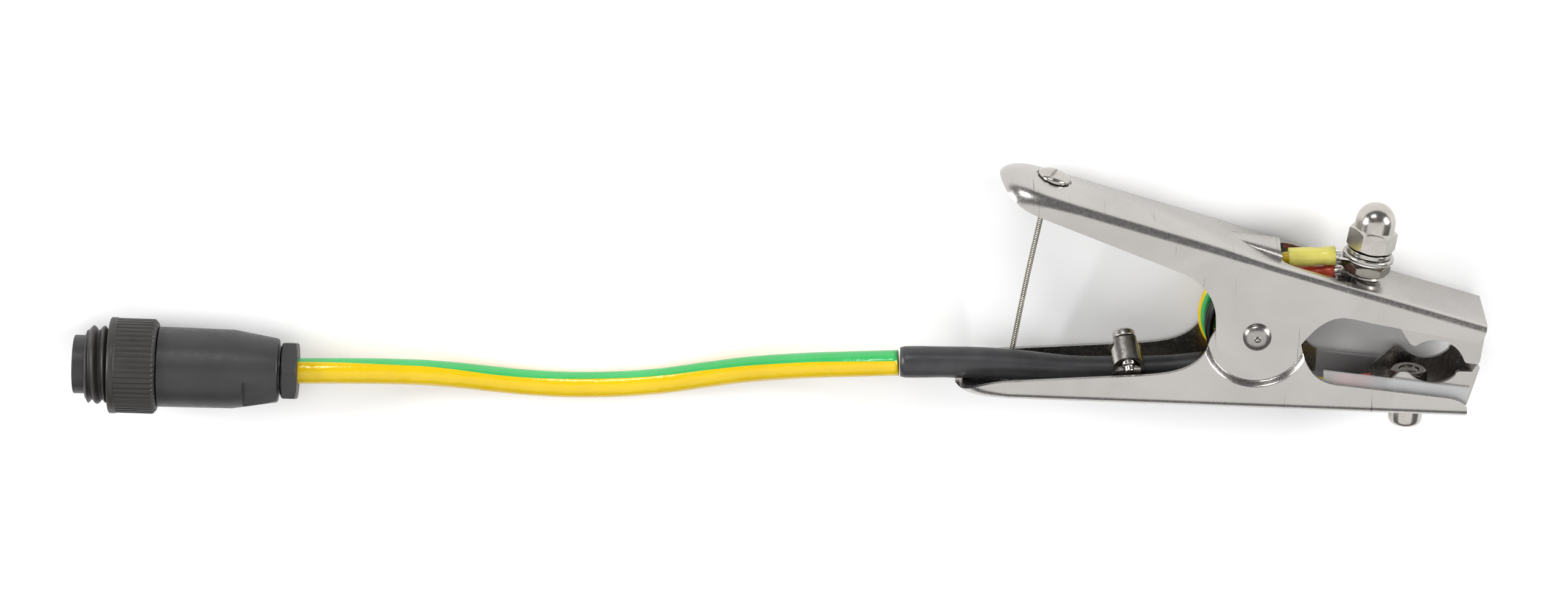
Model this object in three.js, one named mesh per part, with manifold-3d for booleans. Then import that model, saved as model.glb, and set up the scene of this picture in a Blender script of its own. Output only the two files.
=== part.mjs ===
// Two-jaw spring grounding clamp with insulated jaws, a short lead and a round locking plug.
// Millimetres. The clamp lies on its side: +X towards the jaws, +Y towards the upper handle,
// +Z up along the pivot. The origin is under the middle of the clamp, on the surface it lies on.
import * as THREE from "three";
import { mergeVertices } from "three/addons/utils/BufferGeometryUtils.js";
import Module from "manifold-3d";

const wasm = await Module();
wasm.setup();

// ---------------------------------------------------------------- driving dimensions
const SHEET = 1.5; // stainless sheet of both handles
const HALF_WIDTH = 13.8; // half of the channel width
const GAP = 0.3; // clearance between neighbouring pieces
const PIVOT = new THREE.Vector3(10.55, -7.45, 16.1); // centre of the pivot in the row's frame
const EAR_RADIUS = 12.5; // round lobe of each upper ear
const RIVET = { shaft: 3.2, head: 4.3, rise: 2.1 };
const EAR_HOLE = 3.5;
const EAR_INNER = HALF_WIDTH - 2 * SHEET - GAP; // inside face of the lower ears
const JOGGLE = { inner: 15, outer: 16.5 }; // circular step around the lower ears

const UPPER_WEB = { height: 24.5, slope: -0.3065 }; // outside line of the upper web
const LOWER_WEB = { height: -24.4, slope: -0.041 }; // outside line of the lower web
const UPPER_NOSE = { start: -64, length: 15, power: 3 };
const LOWER_NOSE = { start: -75, length: 15.8, power: 3.2 };
const JAW_END = { upper: 69.7, lower: 64.5 };
const WINDOW = { x0: 7, x1: 30, half: 9.2, corner: 5 };
const HOOD = { apex: -17.5, mouth: 7, radius: 4.5, spread: 1.65 }; // wider than high by the spread

const STUD = { x: 32.9, y: 14.2, lean: 0.1676, radius: 3.9 }; // lean in radians from +Y
const SCREW_X = 47.4; // jaw screw, square to the lower web
const GRIP = { radius: 9.5, x: 54, upperY: -11.3, lowerY: -7.15 }; // round bite of the jaws

const CABLE_RADIUS = 3.95;
const SHRINK = { mouth: 4.8, end: 3.8 };
const ROPE_RADIUS = 0.85;
const CORE_RADIUS = 1.9;
const PLUG = { x: -290.6, y: -17.7, z: -1.4, slope: -0.035 };
const WRENCH_FLAT = { turn: -2.138, depth: 9.35, low: 5, high: 17.45 }; // two flats, half a turn apart

// ---------------------------------------------------------------- materials
function material(color, roughness, metalness) {
  return new THREE.MeshStandardMaterial({ color, roughness, metalness });
}
const STEEL = material(0xc8c6c1, 0.32, 1);
const BRIGHT_STEEL = material(0xb9b4aa, 0.2, 1);
const DARK_STEEL = material(0x6f6a62, 0.35, 1);
const SPRING_STEEL = material(0x2c2b2a, 0.45, 1);
const FROSTED = material(0xd8dadb, 0.55, 0);
const YELLOW_GREEN = material(0xd9c21c, 0.45, 0);
const YELLOW_SLEEVE = material(0xe2d957, 0.4, 0);
const RED_SLEEVE = material(0xd0452f, 0.4, 0);
const BLACK_SHRINK = material(0x2b2b2c, 0.5, 0);
const GREY_PLASTIC = material(0x403f40, 0.45, 0);
const BRASS = material(0xc9a54c, 0.3, 1);

// ---------------------------------------------------------------- solids
// A geometry with merged corners as a solid.
function solid(geometry) {
  const bare = geometry.index ? geometry.toNonIndexed() : geometry.clone();
  bare.deleteAttribute("normal");
  bare.deleteAttribute("uv");
  const merged = mergeVertices(bare, 1e-4);
  const made = new wasm.Manifold(
    new wasm.Mesh({
      numProp: 3,
      vertProperties: merged.attributes.position.array,
      triVerts: new Uint32Array(merged.index.array),
    }),
  );
  if (made.volume() < 0) throw new Error("a solid is inside out");
  return made;
}

// A solid back as a geometry.
function geometryOf(body) {
  const mesh = body.getMesh();
  const geometry = new THREE.BufferGeometry();
  geometry.setAttribute("position", new THREE.BufferAttribute(mesh.vertProperties, 3));
  geometry.setIndex(new THREE.BufferAttribute(mesh.triVerts, 1));
  return geometry;
}

// An outline in X and Y, extruded from z0 to z1.
function prism(outline, z0, z1, curveSegments = 8) {
  const geometry = new THREE.ExtrudeGeometry(outline, {
    depth: z1 - z0,
    bevelEnabled: false,
    curveSegments,
  });
  return geometry.translate(0, 0, z0);
}

// A profile of [radius, height] points from the bottom to the top, turned about +Y.
function turned(profile, sides = 24) {
  const points = profile.map(([r, y]) => new THREE.Vector2(r, y));
  return new THREE.LatheGeometry(points, sides);
}

// A solid cylinder along +Y from y0 to y1.
function rod(radius, y0, y1, sides = 24) {
  return turned([[0, y0], [radius, y0], [radius, y1], [0, y1]], sides);
}

// A sleeve along +Y from y0 to y1.
function sleeve(inner, outer, y0, y1, sides = 24) {
  return turned([[inner, y0], [outer, y0], [outer, y1], [inner, y1], [inner, y0]], sides);
}

// A hexagonal bar along +Y with chamfered corners at the ends that are asked for.
function hexagon(acrossFlats, y0, y1, chamferLow = true, chamferHigh = true) {
  const corner = acrossFlats / Math.sqrt(3);
  const flat = acrossFlats / 2;
  const drop = (corner - flat) * 0.6;
  const bar = new THREE.CylinderGeometry(corner, corner, y1 - y0, 6);
  bar.translate(0, (y0 + y1) / 2, 0);
  const barrel = turned([
    [0, y0],
    [chamferLow ? flat * 0.97 : corner + 1, y0],
    [corner + 0.01, y0 + drop],
    [corner + 0.01, y1 - drop],
    [chamferHigh ? flat * 0.97 : corner + 1, y1],
    [0, y1],
  ], 24);
  return solid(bar).intersect(solid(barrel));
}

// A round bar that follows a smooth curve through the points.
function bar(points, radius, steps, sides = 8) {
  const section = new THREE.Shape();
  for (let i = 0; i < sides; i++) {
    const a = (i * 2 * Math.PI) / sides;
    const move = i ? "lineTo" : "moveTo";
    section[move](radius * Math.cos(a), radius * Math.sin(a));
  }
  section.closePath();
  const curve = new THREE.CatmullRomCurve3(points, false, "centripetal");
  return new THREE.ExtrudeGeometry(section, { steps, extrudePath: curve, bevelEnabled: false });
}

// Rings of points joined into one closed body, with flat ends.
function loft(rings) {
  const count = rings[0].length;
  const position = rings.flat().flatMap((p) => [p.x, p.y, p.z]);
  const index = [];
  for (let i = 0; i + 1 < rings.length; i++) {
    for (let j = 0; j < count; j++) {
      const a = i * count + j;
      const b = i * count + ((j + 1) % count);
      index.push(a, b, b + count, a, b + count, a + count);
    }
  }
  for (const end of [0, rings.length - 1]) {
    const flat = rings[end].map((p) => new THREE.Vector2(p.z, p.y));
    const keep = THREE.ShapeUtils.isClockWise(flat) !== end > 0;
    for (const [a, b, c] of THREE.ShapeUtils.triangulateShape(flat, [])) {
      const turn = keep ? [a, b, c] : [a, c, b];
      index.push(...turn.map((k) => k + end * count));
    }
  }
  const geometry = new THREE.BufferGeometry();
  geometry.setAttribute("position", new THREE.Float32BufferAttribute(position, 3));
  geometry.setIndex(index);
  return orientedOut(geometry);
}

// The same geometry with its faces pointing out.
function orientedOut(geometry) {
  const p = geometry.attributes.position;
  const index = geometry.index.array;
  const corner = (k) => new THREE.Vector3().fromBufferAttribute(p, k);
  let volume = 0;
  for (let i = 0; i < index.length; i += 3) {
    volume += corner(index[i]).dot(corner(index[i + 1]).cross(corner(index[i + 2])));
  }
  if (volume < 0) {
    for (let i = 0; i < index.length; i += 3) {
      [index[i + 1], index[i + 2]] = [index[i + 2], index[i + 1]];
    }
  }
  return geometry;
}

const clamp = new THREE.Group();
clamp.position.copy(PIVOT);

// Adds one named piece; its local +Y is turned to the direction that is given.
function add(name, shape, finish, { at = [0, 0, 0], along = [0, 1, 0], parent = clamp } = {}) {
  const geometry = shape.getMesh ? geometryOf(shape) : shape;
  const mesh = new THREE.Mesh(geometry, finish);
  mesh.name = name;
  mesh.position.set(...at);
  const direction = new THREE.Vector3(...along).normalize();
  mesh.quaternion.setFromUnitVectors(new THREE.Vector3(0, 1, 0), direction);
  parent.add(mesh);
  return mesh;
}

// A round cutter along +Y of its own, placed like a piece.
function drill(radius, length, at, along) {
  const tool = rod(radius, -length, length, 24);
  const direction = new THREE.Vector3(...along).normalize();
  tool.applyQuaternion(
    new THREE.Quaternion().setFromUnitVectors(new THREE.Vector3(0, 1, 0), direction),
  );
  return solid(tool.translate(...at));
}

const Z_AXIS = [0, 0, 1];
const upperWebAt = (x) => UPPER_WEB.height + UPPER_WEB.slope * x;
const lowerWebAt = (x) => LOWER_WEB.height + LOWER_WEB.slope * x;
const smooth = (t) => t * t * (3 - 2 * t);
const between = (value, a, b) => Math.min(1, Math.max(0, (value - a) / (b - a)));

// ---------------------------------------------------------------- pressed channels
// How far along the round nose a station lies, 0 where it starts and 1 at its tip.
const noseShare = (x, nose, inset) => between(nose.start - x, 0, nose.length - inset);

// One cross-section of a channel's body, filled down past its rim.
function channelRing(x, spec, inset) {
  const share = noseShare(x, spec.nose, inset);
  const { power } = spec.nose;
  const round = Math.max(0.02, 1 - share ** power) ** (1 / power);
  const half = (HALF_WIDTH - inset) * round;
  const radius = Math.max(0.3, Math.min(spec.bend(x), 0.8 * half + inset) - inset);
  const web = spec.web(x) - spec.side * inset * Math.hypot(1, spec.slope);
  const crown = spec.crown(x);
  const ring = [[half, spec.deep]];
  for (let i = 0; i <= 3; i++) {
    const a = (i * Math.PI) / 6;
    ring.push([
      half - radius + radius * Math.cos(a),
      web - spec.side * radius * (1 - Math.sin(a)),
    ]);
  }
  const flat = half - radius;
  for (let i = 1; i <= 3; i++) ring.push([flat * (1 - i / 4), web]);
  const front = ring.map(([z, y]) => [z, y + spec.side * crown * (1 - (z / half) ** 2) * (y !== spec.deep)]);
  const middle = [[0, web + spec.side * crown]];
  const back = front.map(([z, y]) => [-z, y]).reverse();
  return [...front, ...middle, ...back].map(([z, y]) => new THREE.Vector3(x, y, z));
}

// The filled body of a channel: outer with inset 0, its cavity with the sheet as inset.
function channelBody(spec, inset) {
  const { nose } = spec;
  const stations = [];
  for (let i = 6; i >= 1; i--) {
    stations.push(nose.start - (nose.length - inset) * Math.sin((i * Math.PI) / 12) * 0.9999);
  }
  stations.push(nose.start, ...spec.stations, spec.end + inset);
  return solid(loft(stations.map((x) => channelRing(x, spec, inset))));
}

const upperSpec = {
  side: 1,
  slope: UPPER_WEB.slope,
  nose: UPPER_NOSE,
  deep: -60,
  end: JAW_END.upper,
  stations: [-45, -30, -15, -8, -2, 4, 10],
  bend: (x) => 3 + 3 * between(x, -60, -76),
  web: (x) => upperWebAt(x) - 4.5 * (1 - Math.sqrt(1 - between(x, -67, -78.4) ** 2)),
  crown: (x) => 3 - between(x, -60, -12) - 2 * smooth(between(x, -14, 9)),
};
const lowerSpec = {
  side: -1,
  slope: LOWER_WEB.slope,
  nose: LOWER_NOSE,
  deep: 60,
  end: JAW_END.lower,
  stations: [0],
  bend: (x) => 3.4 + 2 * between(x, -75, -90),
  web: (x) => lowerWebAt(x) + 0.6 * (1 - Math.sqrt(1 - between(x, -80, -90.8) ** 2)),
  crown: () => 0,
};

// The same trough carried past the handle's end, for the pieces that lie in it.
const longLowerSpec = { ...lowerSpec, end: 72 };

// The half-cone louvre in front of the window, grown or shrunk by the inset.
function hood(inset) {
  const mouth = new THREE.Vector3(HOOD.mouth + 0.01, upperWebAt(HOOD.mouth) - 0.6, 0);
  const start = HOOD.apex + 4 * inset;
  const apex = new THREE.Vector3(start, upperWebAt(start) - inset / 3, 0);
  const direction = mouth.clone().sub(apex).normalize();
  const past = inset ? 2 : 0; // the hollow runs on into the window
  const length = mouth.distanceTo(apex) + past;
  const cone = turned([[0, 0], [HOOD.radius - inset * 0.8, length], [0, length]], 24);
  cone.applyQuaternion(
    new THREE.Quaternion().setFromUnitVectors(new THREE.Vector3(0, 1, 0), direction),
  );
  return solid(cone.scale(1, 1, HOOD.spread).translate(apex.x, apex.y, apex.z));
}

// The opening in the upper web that the leads come out of.
function windowCutter() {
  const { x0, x1, half, corner } = WINDOW;
  const plan = new THREE.Shape();
  plan.moveTo(x0, -half + corner);
  plan.quadraticCurveTo(x0, -half, x0 + corner, -half);
  plan.lineTo(x1, -half);
  plan.lineTo(x1, half);
  plan.lineTo(x0 + corner, half);
  plan.quadraticCurveTo(x0, half, x0, half - corner);
  plan.closePath();
  const cutter = prism(plan, -60, 0);
  return solid(cutter.rotateX(Math.PI / 2));
}

// Side view of all the metal of the upper handle: nose, handle flange, round ear, jaw flange.
function upperOutline() {
  const s = new THREE.Shape();
  s.moveTo(-86, 90);
  s.lineTo(-86, 54);
  s.lineTo(-79.2, 50.4);
  s.bezierCurveTo(-77.2, 45.2, -72, 41.1, -66.1, 38.7);
  s.lineTo(-24, 21.1);
  s.bezierCurveTo(-17, 18.4, -13, 12.8, -12.6, 6);
  s.lineTo(-EAR_RADIUS, 0);
  s.absarc(0, 0, EAR_RADIUS, Math.PI, 2 * Math.PI - 0.43, false);
  s.bezierCurveTo(15.3, 0, 19.4, 6.2, 26, 6.2);
  s.quadraticCurveTo(29, 6, 34.3, 4.5);
  s.lineTo(66.1, -2);
  s.quadraticCurveTo(68.6, -2.3, JAW_END.upper, 3);
  s.lineTo(JAW_END.upper, 90);
  s.closePath();
  return s;
}

// Side view of all the metal of the lower handle, with its ear hidden behind the upper one.
function lowerOutline() {
  const s = new THREE.Shape();
  s.moveTo(-95, -60);
  s.lineTo(-95, -20);
  s.lineTo(-89.5, -19.7);
  s.quadraticCurveTo(-83.5, -15.2, -74, -14.9);
  s.lineTo(-34.4, -12.9);
  s.bezierCurveTo(-25, -12.3, -18.6, -11, -15.1, -4.6);
  s.quadraticCurveTo(-13.4, -0.2, -11.4, 3.7);
  s.absarc(0, 0, 12, Math.PI - 0.314, 0.1, true);
  s.lineTo(13.5, -3);
  s.bezierCurveTo(14.6, -9.5, 17.5, -15, 24.4, -15.9);
  s.lineTo(58.3, -20.2);
  s.quadraticCurveTo(63.2, -21, JAW_END.lower, -23.6);
  s.lineTo(JAW_END.lower, -60);
  s.closePath();
  return s;
}

// The circular step that lets the lower ears pass inside the upper ones.
function joggleCutter(inset) {
  const face = HALF_WIDTH - SHEET - GAP - inset;
  const top = HALF_WIDTH + 10;
  const reach = JOGGLE.outer - JOGGLE.inner;
  const rise = SHEET + GAP;
  const far = JOGGLE.outer + ((top - face - rise) * reach) / rise;
  const disc = turned([
    [0, face],
    [JOGGLE.inner - inset * 0.5, face],
    [JOGGLE.outer - inset * 0.5, face + rise],
    [inset ? JOGGLE.outer - inset * 0.5 : far, top],
    [0, top],
  ], 40);
  const front = disc.clone().rotateX(Math.PI / 2);
  const back = disc.clone().rotateX(-Math.PI / 2);
  return solid(front).add(solid(back));
}

const studAxis = [Math.sin(STUD.lean), Math.cos(STUD.lean), 0];
const lowerNormal = [-LOWER_WEB.slope, 1, 0];
const ROPE_TOP = { x: -61.8, y: upperWebAt(-61.8) + 2.3 };
const upperNormal = [-UPPER_WEB.slope, 1, 0];

function upperHandle() {
  const up = new THREE.Vector3(...upperNormal).setLength(8); // to the middle of the screw seat's cutter
  const shell = channelBody(upperSpec, 0).add(hood(0))
    .subtract(channelBody(upperSpec, SHEET).add(hood(SHEET)));
  return shell
    .intersect(solid(prism(upperOutline(), -30, 30, 8)))
    .subtract(windowCutter())
    .subtract(drill(EAR_HOLE, 40, [0, 0, 0], Z_AXIS))
    .subtract(drill(4.6, 6, [STUD.x, STUD.y, 0], studAxis))
    .subtract(drill(2.3, 6, [ROPE_TOP.x, ROPE_TOP.y, 0], upperNormal))
    .subtract(drill(5.6, up.length(), [ROPE_TOP.x + up.x, ROPE_TOP.y + up.y, 0], upperNormal));
}

function lowerHandle() {
  const outer = channelBody(lowerSpec, 0).subtract(joggleCutter(0));
  const cavity = channelBody(lowerSpec, SHEET).subtract(joggleCutter(SHEET));
  return outer
    .subtract(cavity)
    .intersect(solid(prism(lowerOutline(), -30, 30, 8)))
    .subtract(drill(EAR_HOLE, 40, [0, 0, 0], Z_AXIS))
    .subtract(drill(4.2, 6, [SCREW_X, lowerWebAt(SCREW_X), 0], lowerNormal));
}

// ---------------------------------------------------------------- jaw inserts
const LINER = { inset: SHEET + 0.25, sheet: 0.8, x0: 20.2, x1: 65.3 };
const JAW = { inset: LINER.inset + LINER.sheet + GAP, upperInset: SHEET + GAP + 0.05, sheet: 1.4 };
const upperJawWebAt = (x) => 9.4 - 0.169 * (x - 26);
const jawBottomAt = (x) => lowerWebAt(x) + JAW.inset;

function upperJaw() {
  const s = new THREE.Shape();
  s.moveTo(26, upperJawWebAt(26));
  s.lineTo(26, 6.5);
  s.lineTo(41.8, 4.6);
  s.lineTo(46.2, -2.5);
  s.quadraticCurveTo(47, -3.8, 48.4, -3.6);
  s.absarc(GRIP.x, GRIP.upperY, GRIP.radius, 2.2, 0.36, true);
  s.quadraticCurveTo(63.4, -9.4, 64.2, -9.4);
  s.lineTo(66.6, -9.7);
  s.quadraticCurveTo(67.8, -9.8, 68, -8.4);
  s.lineTo(69.1, 0);
  s.quadraticCurveTo(69, 2.4, 67, upperJawWebAt(67));
  s.closePath();
  const inside = new THREE.Shape();
  inside.moveTo(20, upperJawWebAt(20) - JAW.sheet);
  inside.lineTo(66, upperJawWebAt(66) - JAW.sheet);
  inside.lineTo(67, 0);
  inside.lineTo(65.6, -12);
  inside.lineTo(20, -12);
  inside.closePath();
  const half = HALF_WIDTH - JAW.upperInset;
  return solid(prism(s, -half, half, 14))
    .intersect(channelBody(upperSpec, JAW.upperInset))
    .subtract(solid(prism(inside, -half + JAW.sheet, half - JAW.sheet)))
    .subtract(drill(4.3, 4, [31.9, upperJawWebAt(31.9), 0], studAxis));
}

function lowerJaw() {
  const s = new THREE.Shape();
  s.moveTo(36.5, jawBottomAt(36.5));
  s.lineTo(63.7, jawBottomAt(63.7));
  s.quadraticCurveTo(64.6, -23.8, 65, -22.2);
  s.lineTo(68.1, -11.4);
  s.quadraticCurveTo(67.9, -10.4, 67.1, -10.5);
  s.lineTo(65.8, -12.6);
  s.lineTo(62, -12.5);
  s.quadraticCurveTo(61.2, -12.7, 60.8, -13.3);
  s.absarc(GRIP.x, GRIP.lowerY, GRIP.radius, -0.73, -2.44, true);
  s.quadraticCurveTo(45.8, -12.5, 44.6, -12.6);
  s.quadraticCurveTo(43.8, -12.6, 43.2, -13.4);
  s.lineTo(38.6, -17.8);
  s.lineTo(36.5, -19.4);
  s.closePath();
  const inside = new THREE.Shape();
  inside.moveTo(30, jawBottomAt(30) + JAW.sheet);
  inside.lineTo(62.4, jawBottomAt(62.4) + JAW.sheet);
  inside.lineTo(66.2, -9.6);
  inside.lineTo(30, -9.6);
  inside.closePath();
  const half = HALF_WIDTH - JAW.inset;
  return solid(prism(s, -20, 20, 14))
    .intersect(channelBody(longLowerSpec, JAW.inset))
    .subtract(solid(prism(inside, -half + JAW.sheet, half - JAW.sheet)))
    .subtract(drill(3.3, 8, [SCREW_X, lowerWebAt(SCREW_X), 0], lowerNormal));
}

function jawLiner() {
  const side = new THREE.Shape();
  side.moveTo(LINER.x0, -30);
  side.lineTo(LINER.x1 - 1.6, -30);
  side.lineTo(LINER.x1 - 0.9, -21);
  side.lineTo(LINER.x1, -17.7);
  side.lineTo(LINER.x0 + 0.4, -11.8);
  side.closePath();
  const backTop = new THREE.Shape();
  backTop.moveTo(0, -11.7);
  backTop.lineTo(80, -22.2);
  backTop.lineTo(80, 0);
  backTop.lineTo(0, 0);
  backTop.closePath();
  return channelBody(longLowerSpec, LINER.inset)
    .subtract(channelBody(longLowerSpec, LINER.inset + LINER.sheet))
    .intersect(solid(prism(side, -20, 20)))
    .subtract(solid(prism(backTop, -20, 0)))
    .subtract(drill(3.3, 8, [SCREW_X, lowerWebAt(SCREW_X), 0], lowerNormal));
}

// ---------------------------------------------------------------- pivot and spring
const SPRING = { mean: 14, wire: 1.3, low: 0.3, high: 8.2, turns: 2.5 };

function springPath() {
  const points = [new THREE.Vector3(-26, -19.8, SPRING.high), new THREE.Vector3(-13, -16.8, SPRING.high)];
  const count = SPRING.turns * 12;
  for (let i = 0; i <= count; i++) {
    const a = -Math.PI / 2 + (i * Math.PI) / 6;
    const z = SPRING.high + ((SPRING.low - SPRING.high) * i) / count;
    points.push(new THREE.Vector3(SPRING.mean * Math.cos(a), SPRING.mean * Math.sin(a), z));
  }
  points.push(new THREE.Vector3(-13, 20.4, SPRING.low), new THREE.Vector3(-25, 29.6, SPRING.low));
  return points;
}

function addPivot() {
  const { shaft, head, rise } = RIVET;
  const face = HALF_WIDTH + 0.2;
  const dome = [];
  for (let i = 0; i <= 4; i++) {
    const a = (i * Math.PI) / 8;
    dome.push([head * Math.cos(a), face + 0.3 + (rise - 0.3) * Math.sin(a)]);
  }
  dome[4][0] = 0;
  const up = [[shaft, face], [head, face], ...dome];
  const down = up.map(([r, y]) => [r, -y]).reverse();
  add("pivot_rivet", turned([...down, ...up], 20), BRIGHT_STEEL, { along: Z_AXIS });
  add("pivot_bush", sleeve(3.5, 5.5, -EAR_INNER + GAP, EAR_INNER - GAP), STEEL, { along: Z_AXIS });
  add("torsion_spring", bar(springPath(), SPRING.wire, 52), SPRING_STEEL);
}

// ---------------------------------------------------------------- terminal on the upper jaw
// A point at a height along the stud's axis, measured from the outside of the upper web.
const onStud = (s) => [STUD.x + s * studAxis[0], STUD.y + s * studAxis[1], 0];

// A flat ring tongue with its barrel, in the plane of its ring, pointing to -X.
function ringTongue(outer, hole, tongueHalf, reach, thickness) {
  const plan = new THREE.Shape();
  const start = Math.PI - Math.asin(tongueHalf / outer);
  plan.moveTo(-reach, -tongueHalf);
  plan.lineTo(-reach, tongueHalf);
  plan.absarc(0, 0, outer, start, -start, true);
  plan.closePath();
  const plate = solid(prism(plan, 0, thickness, 14).rotateX(-Math.PI / 2));
  return geometryOf(plate.subtract(solid(rod(hole, -1, 2))));
}

const LUG = { from: [24.1, 21, 0], to: [9.7, 20.4, 0] };
const RED_LUG = { from: [24.1, 15.9, 0], to: [10.9, 14.1, -2.5] };

// A cylinder from one point to another, pulled in at both ends.
function barrelBetween(from, to, radius, start = 0, stop = 0) {
  const a = new THREE.Vector3(...from);
  const b = new THREE.Vector3(...to);
  const length = a.distanceTo(b);
  const shape = rod(radius, start, length - stop, 16);
  const direction = b.clone().sub(a).normalize();
  shape.applyQuaternion(
    new THREE.Quaternion().setFromUnitVectors(new THREE.Vector3(0, 1, 0), direction),
  );
  return shape.translate(a.x, a.y, a.z);
}

function sleeveBetween(from, to, inner, outer) {
  const hollow = solid(barrelBetween(from, to, inner, -2, -2));
  return solid(barrelBetween(from, to, outer)).subtract(hollow);
}

function placedRing(shape, s) {
  const geometry = shape.clone().rotateZ(-STUD.lean);
  return geometry.translate(...onStud(s));
}

function addTerminal() {
  const headTop = -8.2;
  const stud = turned([
    [0, headTop - 3],
    [6, headTop - 3],
    [6, headTop],
    [STUD.radius, headTop],
    [STUD.radius, 19],
    [STUD.radius - 0.8, 19.8],
    [0, 19.8],
  ]);
  add("terminal_stud", stud, STEEL, { at: onStud(0), along: studAxis });
  const jam = hexagon(13, 1.75, 5.2).subtract(solid(rod(STUD.radius + 0.25, 0, 9)));
  add("jam_nut", jam, DARK_STEEL, { at: onStud(0), along: studAxis });
  add("flat_washer", sleeve(4.2, 7.85, 6.4, 7.6, 36), STEEL, { at: onStud(0), along: studAxis });
  add("spring_washer", sleeve(4.2, 6.9, 7.8, 9.1, 32), STEEL, { at: onStud(0), along: studAxis });
  const dome = [[0, 9.3], [6.1, 9.3], [6.1, 18]];
  for (let i = 1; i <= 4; i++) {
    const a = (i * Math.PI) / 8;
    dome.push([i === 4 ? 0 : 6.1 * Math.cos(a), 18 + 6.1 * Math.sin(a)]);
  }
  const bore = solid(turned([[0, 9], [4.2, 9], [4.2, 19.6], [0, 20.4]]));
  const acorn = hexagon(13, 9.3, 16).add(solid(turned(dome, 24))).subtract(bore);
  add("acorn_nut", acorn, BRIGHT_STEEL, { at: onStud(0), along: studAxis });

  const ring = placedRing(ringTongue(6.6, 4.2, 3, 9.2, 0.7), 5.45);
  const core = barrelBetween(LUG.from, LUG.to, 2.1, -1.6, 3);
  add("terminal_lug", solid(ring).add(solid(core)), STEEL);
  add("terminal_lug_sleeve", sleeveBetween(LUG.from, LUG.to, 2.35, 2.95), YELLOW_SLEEVE);
  const redRing = placedRing(ringTongue(6, 4.2, 2.2, 8.6, 0.6), 0.95);
  const redCore = barrelBetween(RED_LUG.from, RED_LUG.to, 1.5, -2, 3);
  add("second_lug", solid(redRing).add(solid(redCore)), STEEL);
  add("second_lug_sleeve", sleeveBetween(RED_LUG.from, RED_LUG.to, 1.75, 2.2), RED_SLEEVE);
}

// ---------------------------------------------------------------- screw of the lower jaw
const JAW_LUG = { from: [36.1, -20.1, 0], to: [24.8, -20.3, 0] };

function addJawFixing() {
  const place = { at: [SCREW_X, lowerWebAt(SCREW_X), 0], along: lowerNormal };
  const screw = turned([
    [0, -7.8],
    [3.6, -7.8],
    [4.7, -7.2],
    [5.2, -6.2],
    [5.2, -1.8],
    [3, -1.8],
    [3, 10],
    [0, 10],
  ]);
  add("jaw_screw", screw, BRIGHT_STEEL, place);
  add("jaw_screw_washer", sleeve(3.3, 5.6, -1.6, -0.2), FROSTED, place);
  const nut = hexagon(10, 5.4, 10.2).subtract(solid(rod(3.3, 0, 12)));
  add("jaw_nut", nut, STEEL, place);
  const ring = ringTongue(5.6, 3.3, 2.2, 10.6, 0.7).rotateZ(Math.atan(LOWER_WEB.slope));
  ring.translate(SCREW_X + 0.15, lowerWebAt(SCREW_X) + 4.5, 0);
  const core = barrelBetween(JAW_LUG.from, JAW_LUG.to, 1.5, -1.4, 3);
  add("lower_lug", solid(ring).add(solid(core)), STEEL);
  add("lower_lug_sleeve", sleeveBetween(JAW_LUG.from, JAW_LUG.to, 1.75, 2.2), RED_SLEEVE);
}

// ---------------------------------------------------------------- leads, rope and cable
const points = (rows) => rows.map((p) => new THREE.Vector3(...p));

// The lead of the upper jaw: round the left of the pivot at a depth, then under the louvre.
function upperLeadPath(start, depth, radius, end) {
  const path = points(start);
  for (let i = 0; i <= 7; i++) {
    const a = ((205 - 15 * i) * Math.PI) / 180;
    path.push(new THREE.Vector3(radius * Math.cos(a), radius * Math.sin(a), depth));
  }
  return [...path, ...points(end)];
}

const SHRINK_PATH = points([
  [-107.6, -14, 0],
  [-92.8, -14.05, 0],
  [-74, -14.75, 0],
  [-56, -16, 0],
  [-38, -16.2, 0],
  [-26, -15.8, 0],
  [-15, -14.7, 0],
]);
const CABLE_PATH = points([
  [-108.1, -14.3, 0],
  [-121.3, -15.2, -1.2],
  [-137.6, -17.4, -5],
  [-153.8, -20.4, -9.2],
  [-166.9, -23.2, -11.6],
  [-179.8, -25.4, -12.15],
  [-193, -26.5, -12.15],
  [-208, -26.75, -12.15],
  [-220.6, -26.05, -12],
  [-232, -24.55, -11.2],
  [-243, -22.5, -9.5],
  [-254, -20.5, -7],
  [-265, -19, -4.4],
  [-277, -18, -2.4],
  [-290.3, -17.5, -1.4],
]);

// The tapered tube over the cable, thick at its mouth.
function shrinkTube() {
  const curve = new THREE.CatmullRomCurve3(SHRINK_PATH, false, "centripetal");
  const rings = [];
  for (let i = 0; i <= 18; i++) {
    const p = curve.getPointAt(i / 18);
    const share = smooth(between(p.x, -82, -50));
    const radius = SHRINK.mouth + (SHRINK.end - SHRINK.mouth) * share;
    const ring = [];
    for (let j = 0; j < 14; j++) {
      const a = (j * 2 * Math.PI) / 14;
      ring.push(new THREE.Vector3(p.x, p.y + radius * Math.cos(a), radius * Math.sin(a)));
    }
    rings.push(ring);
  }
  return loft(rings);
}

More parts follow.
